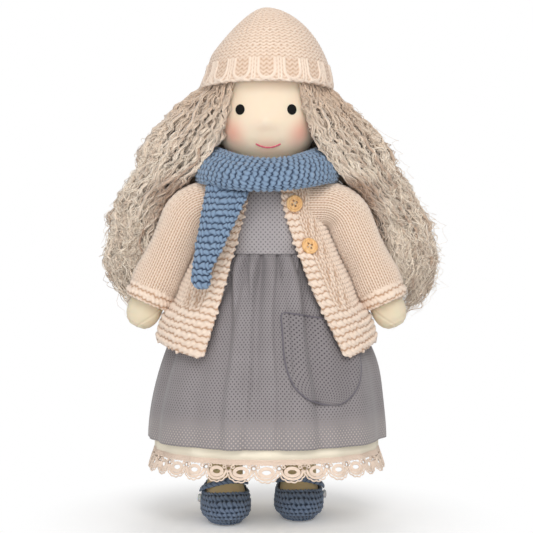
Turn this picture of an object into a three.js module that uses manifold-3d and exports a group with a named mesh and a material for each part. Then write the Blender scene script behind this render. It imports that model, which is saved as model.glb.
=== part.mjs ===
// A cloth doll, 385 mm tall, standing in her clothes: a wool-stuffed jersey body with turning head,
// swinging arms and legs, long curly hair on a wig cap, a knitted hat, scarf and cardigan, a gathered dress
// with a patch pocket, a lace-edged petticoat and crocheted strap shoes.
// Millimetres. +Z is up, the floor is z = 0, and the doll faces -Y. Left and right are the doll's own:
// her left side is +X.
import * as THREE from 'three';
import { mergeVertices } from 'three/addons/utils/BufferGeometryUtils.js';
import Module from 'manifold-3d';

const wasm = await Module();
wasm.setup();

// Clearances
const touch = 0.4;            // between pieces that lie against each other
const turnGap = 0.6;          // round what turns in an armhole or under a seam

// Stuffed body
const skin = 1.2;             // jersey skin
const legLength = 117.6;      // floor to the flat seat of the torso
const legRadius = 13;
const hipSpread = 28;         // each leg from the middle
const footShift = -4.6;       // both feet stand a little to the doll's right
const torsoHeight = 144.4;
const torsoHalfWidth = 36.5;
const torsoHalfDepth = 26;
const neckRadius = 14;
const neckHeight = 6;         // from the torso up to the chin's underside
const neckInHead = 4;         // the neck's end inside the head
const headRadius = 41;
const headHeight = 102;
const cheekFullness = 2.6;    // 2 is a ball, more is fuller below the middle
const armRadius = 12.4;
const armSplay = 24;          // degrees from hanging straight down
const handLength = 22;        // the fingertips below the cuff's lower edge
const shoulderDrop = 24;      // from the neck to the arms' axis
const shoulderForward = 3;    // the arms' axis in front of the middle
const bendRadius = 22;        // the arm's bend below the shoulder
const tieRadius = 1.1;        // cord tied round the neck

// Face
const eyeHalfWidth = 3.4;
const eyeHalfHeight = 3.8;
const eyeSpread = 18.9;       // each eye from the middle
const eyeDrop = 14.2;          // below the middle of the head
const mouthWidth = 18;
const mouthDrop = 43.3;       // below the middle of the head
const mouthCurve = 3.5;       // how far its ends rise
const mouthThread = 0.7;      // radius of the embroidered line
const threadLift = 0.9;       // thickness of the eyes' embroidery

// Hair and hat
const wigCap = 1.5;
const capForehead = 12;       // the cap's front edge in front of the middle
const capNape = 34;           // its lower edge below the middle of the head
const maneHeight = 175;       // below the brim
const maneSquareness = 2.4;
const hairThickness = 5;      // of the hanging curtain of hair
const hairParting = 38.5;     // where the back hair meets the side hair, from the middle
const hatRadius = 49.5;
const hatHeight = 60.7;
const hatKnit = 3;
const bandHeight = 16;
const bandSwell = 0.6;        // the band stands out over the crown
const brimRise = 6;           // brim above the middle of the head

// Dress, petticoat and lace
const cloth = 1.2;
const bodiceHeight = 56;
const waistDrop = 62;         // from the neck down to the waist seam
const hemHeight = 62;
const hemHalfWidth = 89;
const hemHalfDepth = 78;
const foldCount = 10;
const foldDepth = 2.2;
const skirtFlare = 1.8;       // how soon the skirt swells below the waist
const pocketWidth = 58;
const pocketHeight = 66;
const pocketTopDrop = 44;     // below the waist seam
const pocketTurn = 29;        // degrees round from the front
const pocketTilt = 10;        // degrees
const pocketCorner = 5;
const waistGather = 14;       // height in which the petticoat leaves the waist
const petticoatHem = 55;      // height of its lower edge
const laceDepth = 17.5;
const scallopCount = 30;
const scallopDepth = 3.2;
const laceFlare = 5;          // the lace stands out below the skirt's hem

// Cardigan and its buttons
const knit = 2.6;
const cardiganSquareness = 2.15;
const neckEdgeDrop = 3;       // its neck edge below the neck
const cardiganLength = 122;   // from the neck edge to the hem at the sides
const frontPoint = 12;        // how far the front corners hang below the sides
const frontSpread = 50;       // the corners in front of the side seam
const sideSwing = 6;          // its sides stand out from the body, most at the middle of their fall
const swingDrop = 30;         // where that starts, below the neck
const swingHeight = 80;
const sleeveRadius = 17;
const sleeveLength = 56;      // from the end of the shoulder bend to the cuff
const cuffLength = 10;
const cuffSwell = 1.2;
const cuffGrip = 1;           // the cuff is narrower inside than the sleeve
const buttonRadius = 6;
const buttonThickness = 2.4;
const buttonDish = 0.8;       // how deep the middle lies below the rim
const buttonRim = 1.6;
const buttonHole = 0.8;
const buttonHoleSpread = 1.7;
const buttonThread = 0.45;    // radius
const buttonPlaces = [['top', 19, 25], ['bottom', 30, 58]];  // from the middle, and below the neck

// Scarf
const scarfHalfHeight = 14;
const scarfHalfThickness = 7;
const scarfRadius = 45;
const scarfLean = 30;         // degrees that the wrap leans in at the top
const scarfRise = 5;          // middle of the wrap above the neck, at the sides
const scarfDroop = 10;        // lower than that in front
const tailLength = 74;
const tailThickness = 5;
const tailDrop = 8;           // its upper end below the middle of the wrap
const tailTurn = 16;          // degrees that it faces aside

// Shoes
const shoeKnit = 3;
const shoeHeight = 32;
const instepHeight = 18;      // the shoe's edge over the instep
const footSquareness = 2.15;
const toeCapBack = 22;        // toe cap's edge in front of the ankle
const strapWidth = 6;
const strapThickness = 2.4;
const strapAhead = 13;        // its front edge in front of the ankle, at the floor
const strapLean = 7;          // how far it leans back on its way over the foot
const shoeButtonRadius = 3.2;
const shoeButtonThickness = 2;
const shoeButtonAhead = 8;    // in front of the ankle
const shoeButtonHeight = 17.4;

// Heights that follow from the sizes
const neckZ = legLength + torsoHeight;
const headBottom = neckZ + neckHeight;
const headMiddle = headBottom + headHeight / 2;
const shoulderZ = neckZ - shoulderDrop;
const shoulderY = -shoulderForward;
const waistZ = neckZ - waistDrop;
const hipZ = legLength - touch - legRadius;
const brimZ = headMiddle + brimRise;
const capThickness = touch + wigCap;

const radians = THREE.MathUtils.degToRad;

// Sides of the round pieces
const sides = {
  torso: 14, head: 18, arm: 10, sleeve: 12, leg: 14, armhole: 16, hat: 20, hair: 20, eye: 12,
  skirt: 4 * foldCount, petticoat: 28, cardigan: 24, scarfRound: 24, scarfSection: 8, scarfTail: 12,
  button: 16, thread: 4,
};

// Rings, surfaces and solids

// Points on a superellipse in the plane z = height; swell(angle) moves them outwards.
function oval(height, halfWidth, halfDepth, { count, power = 2, y = 0, swell }) {
  const bend = (v) => Math.sign(v) * Math.abs(v) ** (2 / power);
  return Array.from({ length: count }, (_, i) => {
    const angle = (2 * Math.PI * i) / count;
    const out = swell ? swell(angle) : 0;
    return new THREE.Vector3(
      (halfWidth + out) * bend(Math.cos(angle)),
      y + (halfDepth + out) * bend(Math.sin(angle)),
      height,
    );
  });
}

// Points on an ellipse round a middle, in the plane of two directions.
function loop(middle, first, second, firstRadius, secondRadius, count) {
  return Array.from({ length: count }, (_, i) => {
    const angle = (2 * Math.PI * i) / count;
    return middle.clone()
      .addScaledVector(first, firstRadius * Math.cos(angle))
      .addScaledVector(second, secondRadius * Math.sin(angle));
  });
}

// A solid from a row of rings: closed at both ends, or joined from the last ring back to the first.
function solidOf(rings, joined = false) {
  const count = rings[0].length;
  const points = rings.flat();
  const faces = [];
  const spans = joined ? rings.length : rings.length - 1;
  for (let i = 0; i < spans; i += 1) {
    const here = i * count;
    const next = ((i + 1) % rings.length) * count;
    for (let j = 0; j < count; j += 1) {
      const k = (j + 1) % count;
      faces.push(here + j, here + k, next + k, here + j, next + k, next + j);
    }
  }
  if (!joined) {
    [rings[0], rings.at(-1)].forEach((ring, end) => {
      const middle = points.length;
      const start = end * (rings.length - 1) * count;
      points.push(ring.reduce((sum, p) => sum.add(p), new THREE.Vector3()).divideScalar(count));
      for (let j = 0; j < count; j += 1) {
        const k = (j + 1) % count;
        faces.push(middle, start + (end ? j : k), start + (end ? k : j));
      }
    });
  }
  return facingOut(points, faces);
}

// Turns a surface inside out if its faces point inwards, and makes it a solid.
function facingOut(points, faces) {
  let volume = 0;
  for (let i = 0; i < faces.length; i += 3) {
    const [a, b, c] = [0, 1, 2].map((k) => points[faces[i + k]]);
    volume += a.dot(b.clone().cross(c));
  }
  if (volume < 0) faces.reverse();
  const geometry = new THREE.BufferGeometry().setFromPoints(points).setIndex(faces);
  return solidFrom(geometry);
}

function solidFrom(geometry) {
  const bare = new THREE.BufferGeometry();
  bare.setAttribute('position', geometry.getAttribute('position'));
  if (geometry.index) bare.setIndex(geometry.index);
  const merged = mergeVertices(bare, 1e-4);
  return new wasm.Manifold(new wasm.Mesh({
    numProp: 3,
    vertProperties: new Float32Array(merged.getAttribute('position').array),
    triVerts: new Uint32Array(merged.index.array),
  }));
}

function geometryOf(solid) {
  const mesh = solid.getMesh();
  const geometry = new THREE.BufferGeometry();
  geometry.setAttribute('position', new THREE.BufferAttribute(new Float32Array(mesh.vertProperties), 3));
  geometry.setIndex(new THREE.BufferAttribute(new Uint32Array(mesh.triVerts), 1));
  geometry.computeVertexNormals();
  return geometry;
}

const cut = (solid, ...tools) => tools.reduce((left, tool) => left.subtract(tool), solid);
const join = (solid, ...others) => others.reduce((sum, other) => sum.add(other), solid);

// A cut can leave crumbs beside the piece itself.
const mainPiece = (solid) => solid.decompose().reduce((a, b) => (b.volume() > a.volume() ? b : a));

// A hollow open at one end, from outer and inner rings that both run towards the open end.
const cup = (outer, inner) => solidOf([...inner, ...outer.slice().reverse()]);
// A wall open at both ends.
const tube = (outer, inner) => solidOf([...outer, ...inner.slice().reverse()], true);

// A flat outline of [across, up] points, pushed through from y = front to y = back.
function slab(outline, front, back) {
  const shape = new THREE.Shape(outline.map(([x, z]) => new THREE.Vector2(x, z)));
  const geometry = new THREE.ExtrudeGeometry(shape, { depth: back - front, bevelEnabled: false });
  geometry.rotateX(Math.PI / 2).translate(0, back, 0);
  return solidFrom(geometry);
}

// Turns a slab so that across runs along +Y
const quarterTurn = new THREE.Matrix4().makeRotationZ(Math.PI / 2).elements;

function block(minimum, maximum) {
  const size = new THREE.Vector3().subVectors(maximum, minimum);
  const geometry = new THREE.BoxGeometry(size.x, size.y, size.z);
  geometry.translate(...new THREE.Vector3().addVectors(minimum, maximum).divideScalar(2).toArray());
  return solidFrom(geometry);
}

// Reads a table of [height, value, value...] rows at any height.
function readAt(rows, height) {
  const last = rows.length - 1;
  if (height <= rows[0][0]) return rows[0].slice(1);
  if (height >= rows[last][0]) return rows[last].slice(1);
  const next = rows.findIndex((row) => row[0] >= height);
  const [low, high] = [rows[next - 1], rows[next]];
  const share = (height - low[0]) / (high[0] - low[0]);
  return low.slice(1).map((value, i) => value + share * (high[i + 1] - value));
}

const far = 400;  // beyond the whole doll

// Torso

// Height above the seat as a share of the torso, then half width and half depth
const torsoRows = [
  [0, torsoHalfWidth - 7, torsoHalfDepth - 6],
  [0.06, torsoHalfWidth - 1.5, torsoHalfDepth],
  [0.2, torsoHalfWidth, torsoHalfDepth + 1],
  [0.5, torsoHalfWidth - 2, torsoHalfDepth],
  [0.78, torsoHalfWidth, torsoHalfDepth - 2],
  [0.88, torsoHalfWidth - 0.4, torsoHalfDepth - 3],
  [0.94, (torsoHalfWidth + neckRadius) / 2 + 3, torsoHalfDepth - 6],
  [0.985, neckRadius + 3.5, neckRadius + 2.5],
  [1, neckRadius, neckRadius],
].map(([share, ...sizes]) => [legLength + share * torsoHeight, ...sizes]);
const torsoRings = (grow) =>
  torsoRows.map(([z, a, b]) => oval(z, a + grow, b + grow, { count: sides.torso }));

function torsoPieces() {
  const stuffing = torsoRings(-skin - touch);
  stuffing[0].forEach((p) => { p.z += skin + touch; });
  const inside = torsoRings(-skin);
  inside[0].forEach((p) => { p.z += skin; });
  return {
    torso_stuffing: solidOf(stuffing),
    torso_skin: cup(torsoRings(0), inside),
  };
}

// Head

// A ball that is fuller below its middle than above
function headRings(grow) {
  const steps = 6;
  const rings = [];
  for (let i = 1; i < 2 * steps; i += 1) {
    const angle = (Math.PI * i) / (2 * steps);
    const height = -Math.cos(angle);
    const power = height < 0 ? cheekFullness : 2;
    const width = (1 - Math.abs(height) ** power) ** (1 / power);
    const radius = headRadius * width + grow;
    rings.push(oval(headMiddle + (headHeight / 2 + grow) * height, radius, radius, { count: sides.head }));
  }
  return rings;
}
const headForm = (grow) => solidOf(headRings(grow));

function headPieces() {
  const neckTop = headBottom + neckInHead;
  const above = (rings) => rings.filter((ring) => ring[0].z > neckTop);
  const neck = (radius) =>
    [neckZ + touch, neckTop].map((z) => oval(z, radius, radius, { count: sides.head }));
  const outer = [...neck(neckRadius), ...above(headRings(0))].reverse();
  const inner = [...neck(neckRadius - skin), ...above(headRings(-skin))].reverse();
  const stuffing = [...neck(neckRadius - skin - touch), ...above(headRings(-skin - touch))];
  const lift = neckZ + touch + tieRadius + turnGap;
  const tie = Array.from({ length: sides.head }, (_, i) => {
    const angle = (2 * Math.PI * i) / sides.head;
    const out = new THREE.Vector3(Math.cos(angle), Math.sin(angle), 0);
    const middle = out.clone().multiplyScalar(neckRadius + touch + tieRadius).setZ(lift);
    return loop(middle, out, new THREE.Vector3(0, 0, 1), tieRadius, tieRadius, sides.thread);
  });
  return {
    head_stuffing: solidOf(stuffing),
    head_skin: cup(outer, inner),
    neck_tie: solidOf(tie, true),
  };
}

// How far forward the face is at a place across and up
function faceDepth(x, z) {
  const height = (z - headMiddle) / (headHeight / 2);
  const power = height < 0 ? cheekFullness : 2;
  const radius = headRadius * (1 - Math.abs(height) ** power) ** (1 / power);
  return Math.sqrt(radius ** 2 - x ** 2);
}

// Satin stitches: a low lens that follows the face
function eye(side) {
  const z = headMiddle - eyeDrop;
  const turn = Math.asin(eyeSpread / faceDepth(0, z));
  const out = new THREE.Vector3(side * Math.sin(turn), -Math.cos(turn), 0);
  const across = new THREE.Vector3(Math.cos(turn), side * Math.sin(turn), 0);
  const up = new THREE.Vector3(0, 0, 1);
  const middle = new THREE.Vector3(side * eyeSpread, -faceDepth(eyeSpread, z), z);
  const layer = (share, lift) => {
    const at = middle.clone().addScaledVector(out, lift);
    return loop(at, across, up, eyeHalfWidth * share, eyeHalfHeight * share, sides.eye);
  };
  const lens = solidOf([layer(1, -threadLift), layer(1, threadLift * 0.6), layer(0.6, touch + threadLift)]);
  return cut(lens, headForm(touch));
}

// One line of back stitch, rising at both ends
function mouth() {
  const steps = 10;
  const out = new THREE.Vector3(0, -1, 0);
  const up = new THREE.Vector3(0, 0, 1);
  const rings = [];
  for (let i = 0; i <= steps; i += 1) {
    const share = (2 * i) / steps - 1;
    const x = (mouthWidth / 2) * share;
    const z = headMiddle - mouthDrop + mouthCurve * share ** 2;
    const y = -faceDepth(x, z) - touch - mouthThread;
    rings.push(loop(new THREE.Vector3(x, y, z), out, up, mouthThread, mouthThread, sides.thread));
  }
  return cut(solidOf(rings), headForm(touch));
}

// Arms and sleeves

const armLength = sleeveLength + cuffLength + handLength;
const armRoot = torsoHalfWidth + touch;
const bendStart = armRoot + cloth + knit + 3 * touch + turnGap;
const bendAngle = radians(90 - armSplay);
const bendLength = bendRadius * bendAngle;
const bendEnd = bendStart - armRoot + bendLength;

// A ring round the arm at a length along it from the root, for the side 1 or -1
function armRing(length, side, acrossRadius, throughRadius, count) {
  const straight = bendStart - armRoot;
  const turned = Math.min(Math.max(length - straight, 0), bendLength) / bendRadius;
  const rest = Math.max(length - bendEnd, 0);
  const x = armRoot + Math.min(length, straight) + bendRadius * Math.sin(turned) + rest * Math.cos(turned);
  const z = shoulderZ - bendRadius * (1 - Math.cos(turned)) - rest * Math.sin(turned);
  const middle = new THREE.Vector3(side * x, shoulderY, z);
  const across = new THREE.Vector3(side * Math.sin(turned), 0, Math.cos(turned));
  return loop(middle, across, new THREE.Vector3(0, 1, 0), acrossRadius, throughRadius, count);
}

const bendSteps = [0.25, 0.5, 0.75, 1].map((share) => bendStart - armRoot + share * bendLength);

// Length along the arm, radius across the palm and radius through it
const armRows = [
  [0, armRadius, armRadius],
  [bendStart - armRoot, armRadius, armRadius],
  ...bendSteps.map((length) => [length, armRadius, armRadius]),
  [bendEnd + armLength * 0.4, armRadius - 0.4, armRadius - 0.4],
  [bendEnd + armLength * 0.72, armRadius - 0.8, armRadius - 1.4],
  [bendEnd + armLength * 0.84, armRadius - 0.4, armRadius - 2.4],
  [bendEnd + armLength * 0.93, armRadius - 3, armRadius - 4.4],
  [bendEnd + armLength * 0.98, armRadius - 6.6, armRadius - 7.6],
];

function armRings(side, grow, rows = armRows) {
  return rows.map(([length, a, b], i) => {
    const tip = i === rows.length - 1 ? grow : 0;
    return armRing(length + tip, side, a + grow, b + grow, sides.arm);
  });
}

function armPieces(side) {
  return {
    stuffing: solidOf(armRings(side, -skin - touch)),
    skin: cup(armRings(side, 0).reverse(), armRings(side, -skin).reverse()),
  };
}

const sleeveStart = cloth + touch + touch;
const cuffStart = bendEnd + sleeveLength;

// The sleeve's outer form, which the hair lies clear of
const sleeveRows = [sleeveStart, bendStart - armRoot, ...bendSteps, bendEnd + sleeveLength / 2, cuffStart];
const sleeveRings = (side, grow) =>
  sleeveRows.map((length) => armRing(length, side, sleeveRadius + grow, sleeveRadius + grow, sides.sleeve));
const cuffRings = (side, grow, from = touch) =>
  [cuffStart + from, cuffStart + cuffLength / 2, cuffStart + cuffLength].map((length) =>
    armRing(length, side, sleeveRadius + cuffSwell + grow, sleeveRadius + cuffSwell + grow, sides.sleeve));

function sleevePieces(side) {
  return {
    sleeve: tube(sleeveRings(side, 0), sleeveRings(side, -knit)),
    cuff: tube(cuffRings(side, 0), cuffRings(side, -knit - cuffSwell - cuffGrip)),
  };
}

// A round bar along X through an armhole, from one distance from the middle to another
const armhole = (side, radius, from, to) =>
  solidOf([from, to].map((x) => loop(
    new THREE.Vector3(side * x, shoulderY, shoulderZ),
    new THREE.Vector3(0, 1, 0), new THREE.Vector3(0, 0, 1), radius, radius, sides.armhole,
  )));

// Dress

// Half width and half depth of the skirt at a height
function skirtSize(z) {
  const waist = readAt(torsoRows, waistZ).map((size) => size + 2 * touch + 2 * cloth);
  const share = Math.min(Math.max((waistZ - z) / (waistZ - hemHeight), 0), 1);
  const flare = 1 - (1 - share) ** skirtFlare;
  return [
    waist[0] + (hemHalfWidth - waist[0]) * flare,
    waist[1] + (hemHalfDepth - waist[1]) * flare,
  ];
}
const foldAt = (z) => (angle) =>
  foldDepth * Math.sqrt(Math.max(waistZ - z, 0) / (waistZ - hemHeight)) * Math.cos(foldCount * angle);

// Rings of the skirt, closer together under the waist
function skirtRings(grow) {
  const top = waistZ - touch;
  const steps = 5;
  const levels = Array.from({ length: steps + 1 }, (_, i) => top - (top - hemHeight) * (i / steps) ** 1.25);
  return levels.map((z) => {
    const [a, b] = skirtSize(z);
    return oval(z, a + grow, b + grow, { count: sides.skirt, swell: foldAt(z) });
  });
}

function dressPieces() {
  const bodiceTop = waistZ + bodiceHeight;
  const between = torsoRows.map(([z]) => z).filter((z) => z > waistZ + 2 && z < bodiceTop - 2);
  const levels = [waistZ, ...between, bodiceTop];
  const rings = (grow) => levels.map((z) => {
    const [a, b] = readAt(torsoRows, z);
    return oval(z, a + grow, b + grow, { count: sides.torso });
  });
  const bodice = cut(
    tube(rings(touch + cloth), rings(touch)),
    ...[1, -1].map((side) => armhole(side, armRadius + turnGap, torsoHalfWidth / 2, far / 4)),
  );
  return {
    dress_bodice: mainPiece(bodice),
    dress_skirt: tube(skirtRings(0), skirtRings(-cloth)),
  };
}

// A patch with a round bottom, cut from a skin that follows the skirt
function pocket() {
  const top = pocketHeight / 2;
  const half = pocketWidth / 2;
  const roundSteps = 10;
  const outline = [
    [-half, top - pocketCorner],
    [-half + pocketCorner, top],
    [half - pocketCorner, top],
    [half, top - pocketCorner],
  ];
  for (let i = 0; i <= roundSteps; i += 1) {
    const angle = -(Math.PI * i) / roundSteps;
    outline.push([half * Math.cos(angle), half - top + half * Math.sin(angle)]);
  }
  const place = new THREE.Matrix4().makeRotationZ(radians(pocketTurn))
    .multiply(new THREE.Matrix4().makeTranslation(0, 0, waistZ - pocketTopDrop - top))
    .multiply(new THREE.Matrix4().makeRotationY(radians(pocketTilt)));
  const prism = slab(outline, -far / 2, -torsoHalfDepth).transform(place.elements);
  const skinOver = cut(solidOf(skirtRings(touch + cloth)), solidOf(skirtRings(touch)));
  return mainPiece(skinOver.intersect(prism));
}

// Half sizes of the petticoat: under the skirt's folds, and on the torso at the waist
function petticoatSize(z, grow) {
  const under = foldDepth + 2 * cloth + touch;
  const [a, b] = skirtSize(z);
  const [waistA, waistB] = readAt(torsoRows, z).map((size) => size + touch + cloth);
  const atWaist = Math.max(0, 1 - (waistZ - z) / waistGather);
  return [
    (a - under) * (1 - atWaist) + waistA * atWaist + grow,
    (b - under) * (1 - atWaist) + waistB * atWaist + grow,
  ];
}
const petticoatTop = waistZ - 1;

function petticoatPieces() {
  const levels = [petticoatTop, waistZ - 6, waistZ - 16, waistZ - 40, waistZ - 80, petticoatHem];
  const rings = (grow) => levels.map((z) => {
    const [a, b] = petticoatSize(z, grow);
    return oval(z, a, b, { count: sides.petticoat });
  });
  const [a, b] = petticoatSize(petticoatHem, 0);
  const laceTop = petticoatHem - touch;
  const count = scallopCount * 3;
  const laceRing = (z, grow, scallop) => {
    const ring = oval(z, a + grow, b + grow, { count });
    ring.forEach((p, i) => { p.z -= scallop * Math.sin((Math.PI * (i % 3)) / 3); });
    return ring;
  };
  const hem = laceTop - laceDepth + scallopDepth;
  return {
    petticoat: tube(rings(0), rings(-cloth)),
    lace_trim: tube(
      [laceRing(laceTop, 0, 0), laceRing(hem, laceFlare, scallopDepth)],
      [laceRing(laceTop, -cloth, 0), laceRing(hem, laceFlare - cloth, scallopDepth)],
    ),
  };
}

// Cardigan

// Half sizes of the cardigan's inside: over the bodice, then over the skirt's folds and its pocket
function cardiganInside(z) {
  const folds = foldDepth * Math.sqrt(Math.max(waistZ - z, 0) / (waistZ - hemHeight));
  const clear = folds + touch + cloth + touch;
  const [a, b] = z > waistZ ? readAt(torsoRows, z) : skirtSize(z);
  const fall = Math.min(Math.max((neckZ - swingDrop - z) / swingHeight, 0), 1);
  return [a + clear + sideSwing * Math.sin(Math.PI * fall), b + clear];
}
const cardiganTop = neckZ - neckEdgeDrop;
const cardiganHem = cardiganTop - cardiganLength;
// Height, half width and half depth inside, from below the hem's corners up to the neck edge
const cardiganRows = [
  cardiganHem - frontPoint - 4, waistZ - 48, waistZ - 34, waistZ - 22, waistZ - 12, waistZ - 5,
  ...torsoRows.map(([z]) => z).filter((z) => z > waistZ + 3 && z < cardiganTop - 1),
  cardiganTop,
].map((z) => [z, ...cardiganInside(z)]);
function cardiganRings(grow, overshoot = 0) {
  return cardiganRows.map(([z, a, b], i) => {
    const beyond = overshoot * ((i === cardiganRows.length - 1) - (i === 0));
    return oval(z + beyond, a + grow, b + grow, { count: sides.cardigan, power: cardiganSquareness });
  });
}
const cardiganForm = (grow) => solidOf(cardiganRings(knit + grow));

// Where the two front edges run, as [height above the hem's corners as a share, right edge, left edge]
const frontEdges = [
  [-0.2, -52, 62],
  [0.05, -43, 53],
  [0.28, -34, 38],
  [0.55, -25, 24],
  [0.85, -15, 12],
  [1.1, -12, 9],
];

function cardiganPieces() {
  const corner = cardiganHem - frontPoint;
  const height = (share) => corner + share * (cardiganTop - corner);
  const opening = slab([
    ...frontEdges.map(([share, right]) => [right, height(share)]),
    ...frontEdges.map(([share, , left]) => [left, height(share)]).reverse(),
  ], -far / 2, 0);
  const below = [
    [-far / 2, 0], [-far / 2, corner], [-frontSpread, corner], [0, cardiganHem], [far / 2, cardiganHem],
    [far / 2, 0],
  ];
  const underHem = slab(below, -far / 2, far / 2).transform(quarterTurn);
  const shell = cut(
    solidOf(cardiganRings(knit)),
    solidOf(cardiganRings(0, 1)),
    opening,
    underHem,
    ...[1, -1].flatMap((side) => [
      armhole(side, armRadius + turnGap, torsoHalfWidth / 2, far / 4),
      armhole(side, sleeveRadius + turnGap, armRoot + sleeveStart - touch, far / 4),
    ]),
  );
  const seam = shoulderY;
  const part = (minX, maxX, minY, maxY) => mainPiece(shell.intersect(
    block(new THREE.Vector3(minX, minY, 0), new THREE.Vector3(maxX, maxY, far)),
  ));
  return {
    cardigan_back: part(-far, far, seam + touch / 2, far),
    cardigan_front_left: part(0, far, -far, seam - touch / 2),
    cardigan_front_right: part(-far, 0, -far, seam - touch / 2),
  };
}

// Wooden buttons, sewn to the left front

// How far forward the cardigan's front is at a place across and up
function cardiganFront(x, z) {
  const [a, b] = readAt(cardiganRows, z).map((size) => size + knit);
  const power = cardiganSquareness;
  return b * (1 - Math.abs(x / a) ** power) ** (1 / power);
}

// The seat and facing of a button on the cardigan: a plane through its four sides
function onCardigan(x, z) {
  const reach = buttonRadius * 0.8;
  const at = (dx, dz) => new THREE.Vector3(x + dx, -cardiganFront(x + dx, z + dz), z + dz);
  const across = at(reach, 0).sub(at(-reach, 0));
  const up = at(0, reach).sub(at(0, -reach));
  const normal = across.cross(up).normalize();
  return { place: at(0, 0).addScaledVector(normal, 2 * touch), normal };
}

const ringShape = (radius, count) => Array.from({ length: count }, (_, i) => {
  const angle = (2 * Math.PI * i) / count;
  return new THREE.Vector2(radius * Math.cos(angle), radius * Math.sin(angle));
});
const threadPlaces = [0, 1, 2, 3].map((i) => {
  const angle = Math.PI * (i / 2 + 0.4);
  return new THREE.Vector2(buttonHoleSpread * Math.cos(angle), buttonHoleSpread * Math.sin(angle));
});

function buttonSolid() {
  const disc = new THREE.Shape(ringShape(buttonRadius, sides.button));
  threadPlaces.forEach((place) => {
    disc.holes.push(new THREE.Path(ringShape(buttonHole, 6).map((p) => p.add(place)).reverse()));
  });
  const plate = new THREE.ExtrudeGeometry(disc, { depth: buttonThickness - buttonDish, bevelEnabled: false });
  const rim = new THREE.Shape(ringShape(buttonRadius, sides.button));
  rim.holes.push(new THREE.Path(ringShape(buttonRadius - buttonRim, sides.button).reverse()));
  const edge = new THREE.ExtrudeGeometry(rim, { depth: buttonThickness, bevelEnabled: false });
  return geometryOf(join(solidFrom(plate), solidFrom(edge)));
}

// A cross of thread over the holes, with its four legs down through them
function buttonThreadSolid() {
  const top = buttonThickness - buttonDish + touch;
  const bar = (from, to) => {
    const along = to.clone().sub(from).normalize();
    const side = new THREE.Vector3(-along.y, along.x, 0).normalize();
    const up = along.clone().cross(side);
    return solidOf([from, to].map((end) => loop(end, side, up, buttonThread, buttonThread, sides.thread)));
  };
  const at = (i, z, share = 1) => {
    const place = threadPlaces[i].clone().multiplyScalar(share);
    return new THREE.Vector3(place.x, place.y, z);
  };
  const over = top + buttonThread;
  const crossing = [[0, 2], [1, 3]].map(([i, j]) => bar(at(i, over, 1.15), at(j, over, 1.15)));
  const [right, forward] = [new THREE.Vector3(1, 0, 0), new THREE.Vector3(0, 1, 0)];
  const legs = [0, 1, 2, 3].map((i) =>
    solidOf([0, over].map((z) => loop(at(i, z), right, forward, buttonThread, buttonThread, sides.thread))));
  return geometryOf(join(...crossing, ...legs));
}

// Scarf

// Rings of the wrap's section, round the neck
function wrapRings(grow) {
  const count = sides.scarfRound;
  const lean = radians(scarfLean);
  return Array.from({ length: count }, (_, i) => {
    const angle = (2 * Math.PI * i) / count;
    const out = new THREE.Vector3(Math.cos(angle), Math.sin(angle), 0);
    const front = Math.max(0, -Math.sin(angle));
    const level = neckZ + scarfRise - scarfDroop * front ** 2;
    const middle = out.clone().multiplyScalar(scarfRadius).setZ(level);
    const height = out.clone().multiplyScalar(-Math.sin(lean)).setZ(Math.cos(lean));
    const through = out.clone().multiplyScalar(Math.cos(lean)).setZ(Math.sin(lean));
    const [thick, high] = [scarfHalfThickness + grow, scarfHalfHeight + grow];
    return loop(middle, through, height, thick, high, sides.scarfSection);
  });
}
const wrapForm = (grow) => solidOf(wrapRings(grow), true);

// Room for the sleeves' tops to turn
const shoulderTurns = [1, -1].map((side) =>
  armhole(side, sleeveRadius + turnGap, armRoot + sleeveStart - touch, bendStart + sleeveRadius));

// The loose end hangs on the doll's right: [share of its length, across, depth, half width]
const tailRows = [
  [-0.16, -26, 41, 17],
  [0.02, -30, 46, 16.5],
  [0.2, -34, 49, 14.5],
  [0.45, -40, 51, 12],
  [0.7, -44, 54, 9.4],
  [0.9, -46, 57, 7.8],
  [0.98, -46.6, 58, 5],
];

function scarfPieces() {
  const top = neckZ + scarfRise - scarfDroop - tailDrop;
  const turn = radians(tailTurn);
  const across = new THREE.Vector3(Math.cos(turn), -Math.sin(turn), 0);
  const through = new THREE.Vector3(Math.sin(turn), Math.cos(turn), 0);
  const tail = solidOf(tailRows.map(([share, x, depth, half]) => {
    const middle = new THREE.Vector3(x, -depth, top - share * tailLength);
    return loop(middle, across, through, half, tailThickness / 2, sides.scarfTail);
  }));
  const wrap = cut(wrapForm(0), cardiganForm(touch), headForm(touch), ...shoulderTurns);
  return {
    scarf_wrap: mainPiece(wrap),
    scarf_tail: mainPiece(cut(tail, wrapForm(touch), cardiganForm(touch))),
  };
}

// Legs and shoes

// Height, half width, reach to the toes and reach to the heel
const soleZ = shoeKnit + touch;
const legRows = [
  [soleZ, 10.5, 29, 10],
  [soleZ + 3, 14, 34, 13.5],
  [soleZ + 9, 15.4, 36, 15],
  [soleZ + 15, 15, 32, 15],
  [soleZ + 20, 14.2, 23, 14.5],
  [soleZ + 26, 13.4, 16, 13.8],
  [soleZ + 33, legRadius, legRadius, legRadius],
  [hipZ, legRadius, legRadius, legRadius],
];

// The right foot stands a little forward and turned in
const stance = { 1: { forward: -12, turn: 3 }, [-1]: { forward: 3, turn: 8 } };

// Where the leg's middle is at a height, and how the leg is turned
function legPlace(side, height, lift = height) {
  const down = 1 - Math.min(height / hipZ, 1);
  const { forward, turn } = stance[side];
  return new THREE.Matrix4()
    .makeTranslation(side * hipSpread + footShift * down, -forward * down, lift)
    .multiply(new THREE.Matrix4().makeRotationZ(radians(turn)));
}

function legRing([z, half, toe, heel], grow, side) {
  const place = legPlace(side, z);
  return oval(0, half + grow, (toe + heel) / 2 + grow, {
    count: sides.leg, y: (heel - toe) / 2, power: footSquareness,
  }).map((p) => p.applyMatrix4(place));
}

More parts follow.
